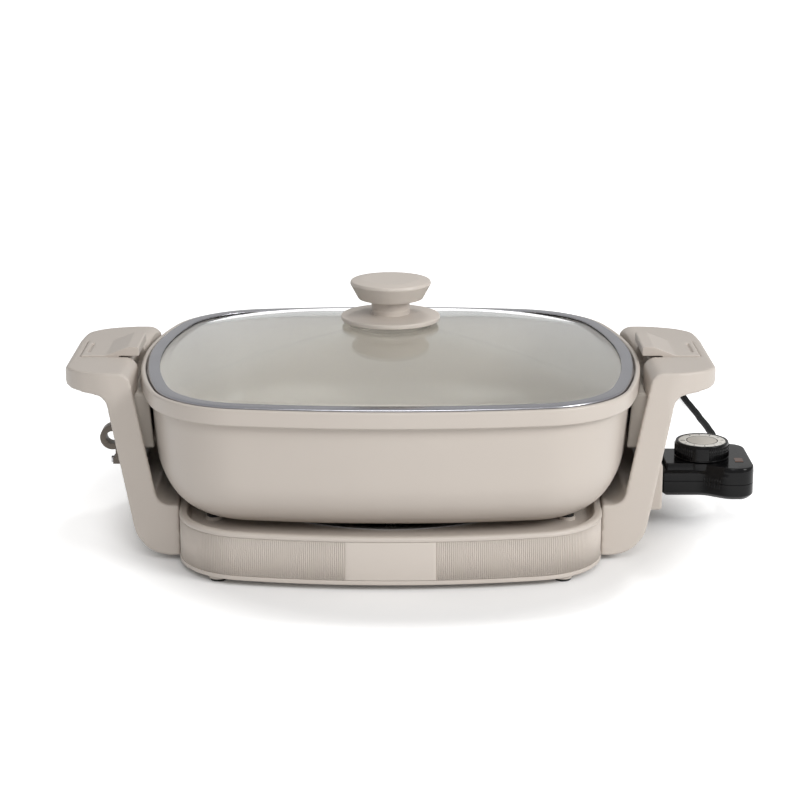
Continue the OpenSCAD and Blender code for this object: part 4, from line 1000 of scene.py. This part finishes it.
def makeCase(s):
    wall = s["wall"]
    split = s["split"]
    top = s["top"]
    floor = top - s["bevel"]
    shaft = s["shaft"]

    def caseLoft(name, line):
        plans = [(casePlan(s, neckIn, endIn), z) for neckIn, endIn, z in line]
        return loftPiece(name, [[(x, y, z) for x, y in plan] for plan, z in plans])
    low = roundLine([(6, s["low"], 0), (s["foot"], s["low"], 1.4), (0, s["low"] + s["foot"], 1.6),
                     (0, split - 0.2, 0), (0.25, split - 0.03, 0), (wall, split - 0.03, 0),
                     (wall, s["low"] + wall, 0)], 4)
    lower = softShade(caseLoft("caseLower", [(t, t, z) for t, z in low]), 40)
    place(lower, "controller", looks["gloss"], ("controller_lower_case",))

    def wideIn(z):
        # the wide end is only rounded over at the top
        k = max(0, z - top + s["over"]) / s["over"]
        return s["over"] * (1 - max(0, 1 - k * k) ** 0.5)
    start = [(wall, floor), (wall, split + 0.05), (0.25, split + 0.05), (0, split + 0.2)]
    # the neck has a bevel and, above it, an upright step up to the top
    bevelT, bevelH, stepH = s["step"]
    stepZ = top - stepH
    neck = roundLine([(0, split + 1, 0), (0, stepZ - bevelH, 0.6), (bevelT, stepZ, 0.4),
                      (bevelT + 0.4, top, 0.6), (bevelT + 3, top, 0)], 5)
    line = [(t, t, z) for t, z in start] + [(t, wideIn(z), z) for t, z in neck] + [(8, 8, top)]
    upper = caseLoft("caseUpper", line)
    bore = prism("shaftHole", circlePoints(shaft, 48, dialSet["at"]), "z", split, top + 1)
    softShade(joinCut(upper, [("DIFFERENCE", bore)]), 40)
    place(upper, "controller", looks["gloss"], ("controller_upper_case",))
    high = top - 0.1
    rim = roundLine([(shaft, floor, 0), (s["collar"], floor, 0), (s["collar"], high, 0.6), (shaft, high, 0),
                     (shaft, floor, 0)], 4)
    collar = softShade(lathePiece("dialCollar", rim, dialSet["at"]), 40)
    place(collar, "controller", looks["gloss"], ())
    makeGrip(s, s["grip"])


def makeGrip(s, g):
    # fine upright ribs where the neck flares out
    plan = casePlan(s, 0.15, 0.15)
    side = sorted({(round(x, 4), round(y, 4)) for x, y in plan if y < 0 and x < s["end"] - 10})
    low, high = g["z"]
    spots = []
    for i in range(g["count"]):
        x = between(i, (0, g["x"][0]), (g["count"] - 1, g["x"][1]))
        a, b = next((a, b) for a, b in zip(side, side[1:]) if a[0] <= x < b[0])
        y = between(x, a, b)
        spots += [(x, y, (low + high) / 2), (x, -y, (low + high) / 2)]
    ribs = growRibs("gripRibs", spots, g["r"], high - low, looks["gloss"])
    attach(ribs, "controller")


def makeDial(s):
    r = s["d"] / 2
    low = s["z"]
    top = low + s["h"]
    plate = s["plate"] / 2
    bore = caseSet["shaft"]
    line = roundLine([(bore, low, 0), (r - 0.1, low, 0.4), (r - 0.1, low + 1, 0.3),
                      (r - 0.5, low + s["skirt"], 0.1), (r - 0.5, top - 2, 0.3), (r - 0.9, top - 0.1, 0.7),
                      (plate, top, 0.3), (plate, top - 1, 0), (0, top - 1, 0)], 5)
    line += [(0, top - 3), (bore, top - 3), (bore, low)]
    body = softShade(lathePiece("dialBody", line, s["at"]), 40)
    place(body, "dial", looks["dial"], ("dial",))
    tall = s["h"] - s["skirt"] - s["shoulder"]
    spots = []
    for k, (x, y) in enumerate(circlePoints(r - s["fluteIn"], s["flutes"], s["at"])):
        if not s["plain"][0] < 360 * k / s["flutes"] < s["plain"][1]:
            spots.append((x, y, low + s["skirt"] + tall / 2))
    ribs = growRibs("dialFlutes", spots, s["fluteR"], tall, looks["dial"])
    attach(ribs, "dial")
    makeDialFace(s, plate, top)


def makeDialFace(s, plate, top):
    # a round plate with a fine dark ring and, outside it, the scale
    high = top - s["sunk"]
    ring = plate * s["ring"]
    line = roundLine([(0, top - 1, 0), (plate - 0.1, top - 1, 0), (plate - 0.1, high, 0.2),
                      (ring + 0.2, high, 0.05), (ring, high - 0.2, 0), (ring - 0.3, high - 0.2, 0),
                      (ring - 0.5, high, 0.05), (0, high, 0)], 3)
    disc = lathePiece("dialFace", line, s["at"])
    for f in disc.data.polygons:
        away = (f.center.xy / mm - Vector(s["at"])).length
        f.material_index = 1 if away > ring + 0.1 else 2 if away > ring - 0.4 else 0
    softShade(disc, 35)
    place(disc, "dial", [looks["silver"], looks["scale"], looks["gasket"]], ("dial_plate",))
    makeDialMarks(s, plate, high)


def makeDialMarks(s, plate, high):
    # short strokes for the steps of heat and a longer one for off, as thick as paint
    middle = Vector((*s["at"], 0))
    parts = []
    for i, turn in enumerate(s["marks"]):
        start, half = s["stroke"] if i else s["offStroke"]
        a = radians(turn)
        along = Vector((cos(a), sin(a), 0)) * plate
        side = Vector((-sin(a), cos(a), 0)) * half
        inner = middle + along * start
        outer = middle + along * s["strokeEnd"]
        corner = [inner - side, outer - side, outer + side, inner + side]
        parts.append(loftPiece("mark", [[(p.x, p.y, z) for p in corner] for z in (high - 0.1, high + 0.03)]))
    place(joinMeshes("dialMarks", parts), "dial", looks["matt"], ())


def makeRelief(s):
    # a tapered sleeve with grooves round it
    def radius(y):
        return between(y, (s["start"], s["r"][0]), (s["end"], s["r"][1]))
    line = [(s["bore"], s["start"]), (radius(s["start"]), s["start"])]
    step = (s["end"] - s["first"] - 1) / s["ribs"]
    for k in range(s["ribs"]):
        y = s["first"] + step * k
        r = radius(y)
        deep = r - s["groove"]
        low = y + s["slope"]
        high = low + s["grooveW"]
        line += [(r, y), (deep, low), (deep, high), (r, high + s["slope"])]
    end = radius(s["end"])
    line += [(end - 0.1, s["end"] - 0.4), (end - 0.5, s["end"]), (s["bore"], s["end"])]
    rings = [[(x, y, z) for x, z in circlePoints(r, s["sides"], (s["x"], s["z"]))] for r, y in line]
    piece = softShade(loftPiece("reliefSleeve", rings, True), 40)
    place(piece, "controller", looks["cord"], ("strain_relief",))


def makePlug():
    plug = bevelCopy("plug_body", "plugMould", 0.0012, 4)
    place(plug, "controller", looks["matt"], ("plug_body",))
    return plug


makeRelief(reliefSet)
plugMould = makePlug()
makeCase(caseSet)
makeDial(dialSet)
print("controller made")

# solids that keep their shape and only get a finish

finishOf = {
    "gasket": ["knob_gasket"],
    "screw": ["knob_screw", "base_screws", "arm_screws", "element_clips", "terminal_pins", "left_latch_screw",
              "right_latch_screw", "clip_screw", "probe_rod", "controller_screws", "dial_shaft"],
    "greige": ["bottom_plate"],
    "shield": ["heat_shield"],
    "sheath": ["heating_element"],
    "ceramic": ["terminal_block", "thermostat"],
    "matt": ["left_latch_keeper", "right_latch_keeper", "probe_nose", "cord_tie"],
    "brass": ["contact_sockets", "plug_blades"],
    "amber": ["indicator_lens"],
}
for finish, names in finishOf.items():
    for name in names:
        nodes[name].data.materials.clear()
        nodes[name].data.materials.append(looks[finish])
print("solids finished")

# floor and light

# painted light on the floor: a glow by distance from the middle, stretched and shifted, none near the base
# where the shadow falls, white far off where it hides shadows
stageSet = {"size": 14, "floor": (247, 247, 247), "reach": 1.5, "world": 0.38, "mirror": 0.55,
            "stretch": (1, 0.9, 1), "shift": (-0.014, 0, 0),
            "paintedGlow": [(0.175, 0.02), (0.24, 0.5), (0.3, 0.7), (1.3, 1.0)]}
lampSet = {
    "keyLamp": {"place": (1.9, -1.3, 1.35), "aim": (0, 0, 0.08), "size": 1.1, "power": 32},
    "frontLamp": {"place": (0.1, -1.9, 1.6), "aim": (0, 0, 0.08), "size": 1.2, "power": 15},
}
spotSet = {"place": (0.2, 0.8, 2.1), "aim": (0, -0.02, 0.1), "power": 78, "cone": 15, "soft": 0.25}


def floorLook(s):
    look = bpy.data.materials.new("paleFloor")
    look.use_nodes = True
    tree = look.node_tree
    tree.nodes.clear()
    ray = tree.nodes.new("ShaderNodeLightPath").outputs
    mirrored = mathNode(tree, "MAXIMUM", ray["Is Glossy Ray"], ray["Is Transmission Ray"])
    seen = mathNode(tree, "MAXIMUM", ray["Is Camera Ray"], mirrored)
    where = tree.nodes.new("ShaderNodeTexCoord").outputs["Object"]
    shifted = vectorNode(tree, "MULTIPLY_ADD", where, s["stretch"], s["shift"])
    away = vectorNode(tree, "LENGTH", shifted[0])
    ramp = tree.nodes.new("ShaderNodeValToRGB")
    ramp.color_ramp.interpolation = "EASE"
    while len(ramp.color_ramp.elements) < len(s["paintedGlow"]):
        ramp.color_ramp.elements.new(0.5)
    for stop, (distance, value) in zip(ramp.color_ramp.elements, s["paintedGlow"]):
        stop.position = distance / s["reach"]
        stop.color = (value, value, value, 1)
    tree.links.new(mathNode(tree, "MULTIPLY", away["Value"], 1 / s["reach"]), ramp.inputs["Fac"])
    # painted light: for camera, glossy and transmission rays the floor glows by distance, on top of its plain
    # diffuse, so shadows show only near the base
    strength = mathNode(tree, "MULTIPLY", seen, ramp.outputs["Color"])
    matt = addNode(tree, "ShaderNodeBsdfDiffuse", {"Color": tint(*s["floor"])})
    paintedGlow = addNode(tree, "ShaderNodeEmission", {"Color": (1, 1, 1, 1), "Strength": strength})
    both = addNode(tree, "ShaderNodeAddShader", {0: matt[0], 1: paintedGlow[0]})
    addNode(tree, "ShaderNodeOutputMaterial", {"Surface": both[0]})
    return look


def makeStage(s):
    mesh = bpy.data.meshes.new("studioFloor")
    half = s["size"] / 2
    corners = boxLine((-half, half), (-half, half))
    mesh.from_pydata([(x, y, 0) for x, y in corners], [], [(0, 1, 2, 3)])
    floor = addObject("studioFloor", mesh)
    mesh.materials.append(floorLook(s))


def makeWorld(s):
    # white to the camera and through glass, dimmer as light and in reflections
    world = bpy.data.worlds.new("studioWorld")
    scene.world = world
    world.use_nodes = True
    tree = world.node_tree
    back = tree.nodes["Background"]
    back.inputs["Color"].default_value = (1, 1, 1, 1)
    ray = tree.nodes.new("ShaderNodeLightPath").outputs
    seen = mathNode(tree, "MAXIMUM", ray["Is Camera Ray"], ray["Is Transmission Ray"])
    mirrored = mathNode(tree, "MULTIPLY", ray["Is Glossy Ray"], s["mirror"])
    strength = mathNode(tree, "MAXIMUM", spread(tree, seen, s["world"], 1.0), mirrored)
    tree.links.new(strength, back.inputs["Strength"])


def addLamp(name, kind, s):
    data = bpy.data.lights.new(name, kind)
    data.energy = s["power"]
    lamp = addObject(name, data)
    lamp.location = s["place"]
    lamp.rotation_euler = (Vector(s["aim"]) - Vector(s["place"])).to_track_quat("-Z", "Y").to_euler()
    return lamp, data


def makeLamps(lamps):
    for name, s in lamps.items():
        lamp, data = addLamp(name, "AREA", s)
        data.shape = "DISK"
        data.size = s["size"]


def makeSpot(s):
    # lights the lid from above and leaves the handles to the other lamps
    spot, data = addLamp("lidSpot", "SPOT", s)
    data.spot_size = radians(s["cone"])
    data.spot_blend = 1
    data.shadow_soft_size = s["soft"]
    spot.visible_glossy = False


makeStage(stageSet)
makeWorld(stageSet)
makeLamps(lampSet)
makeSpot(spotSet)
print("stage set")
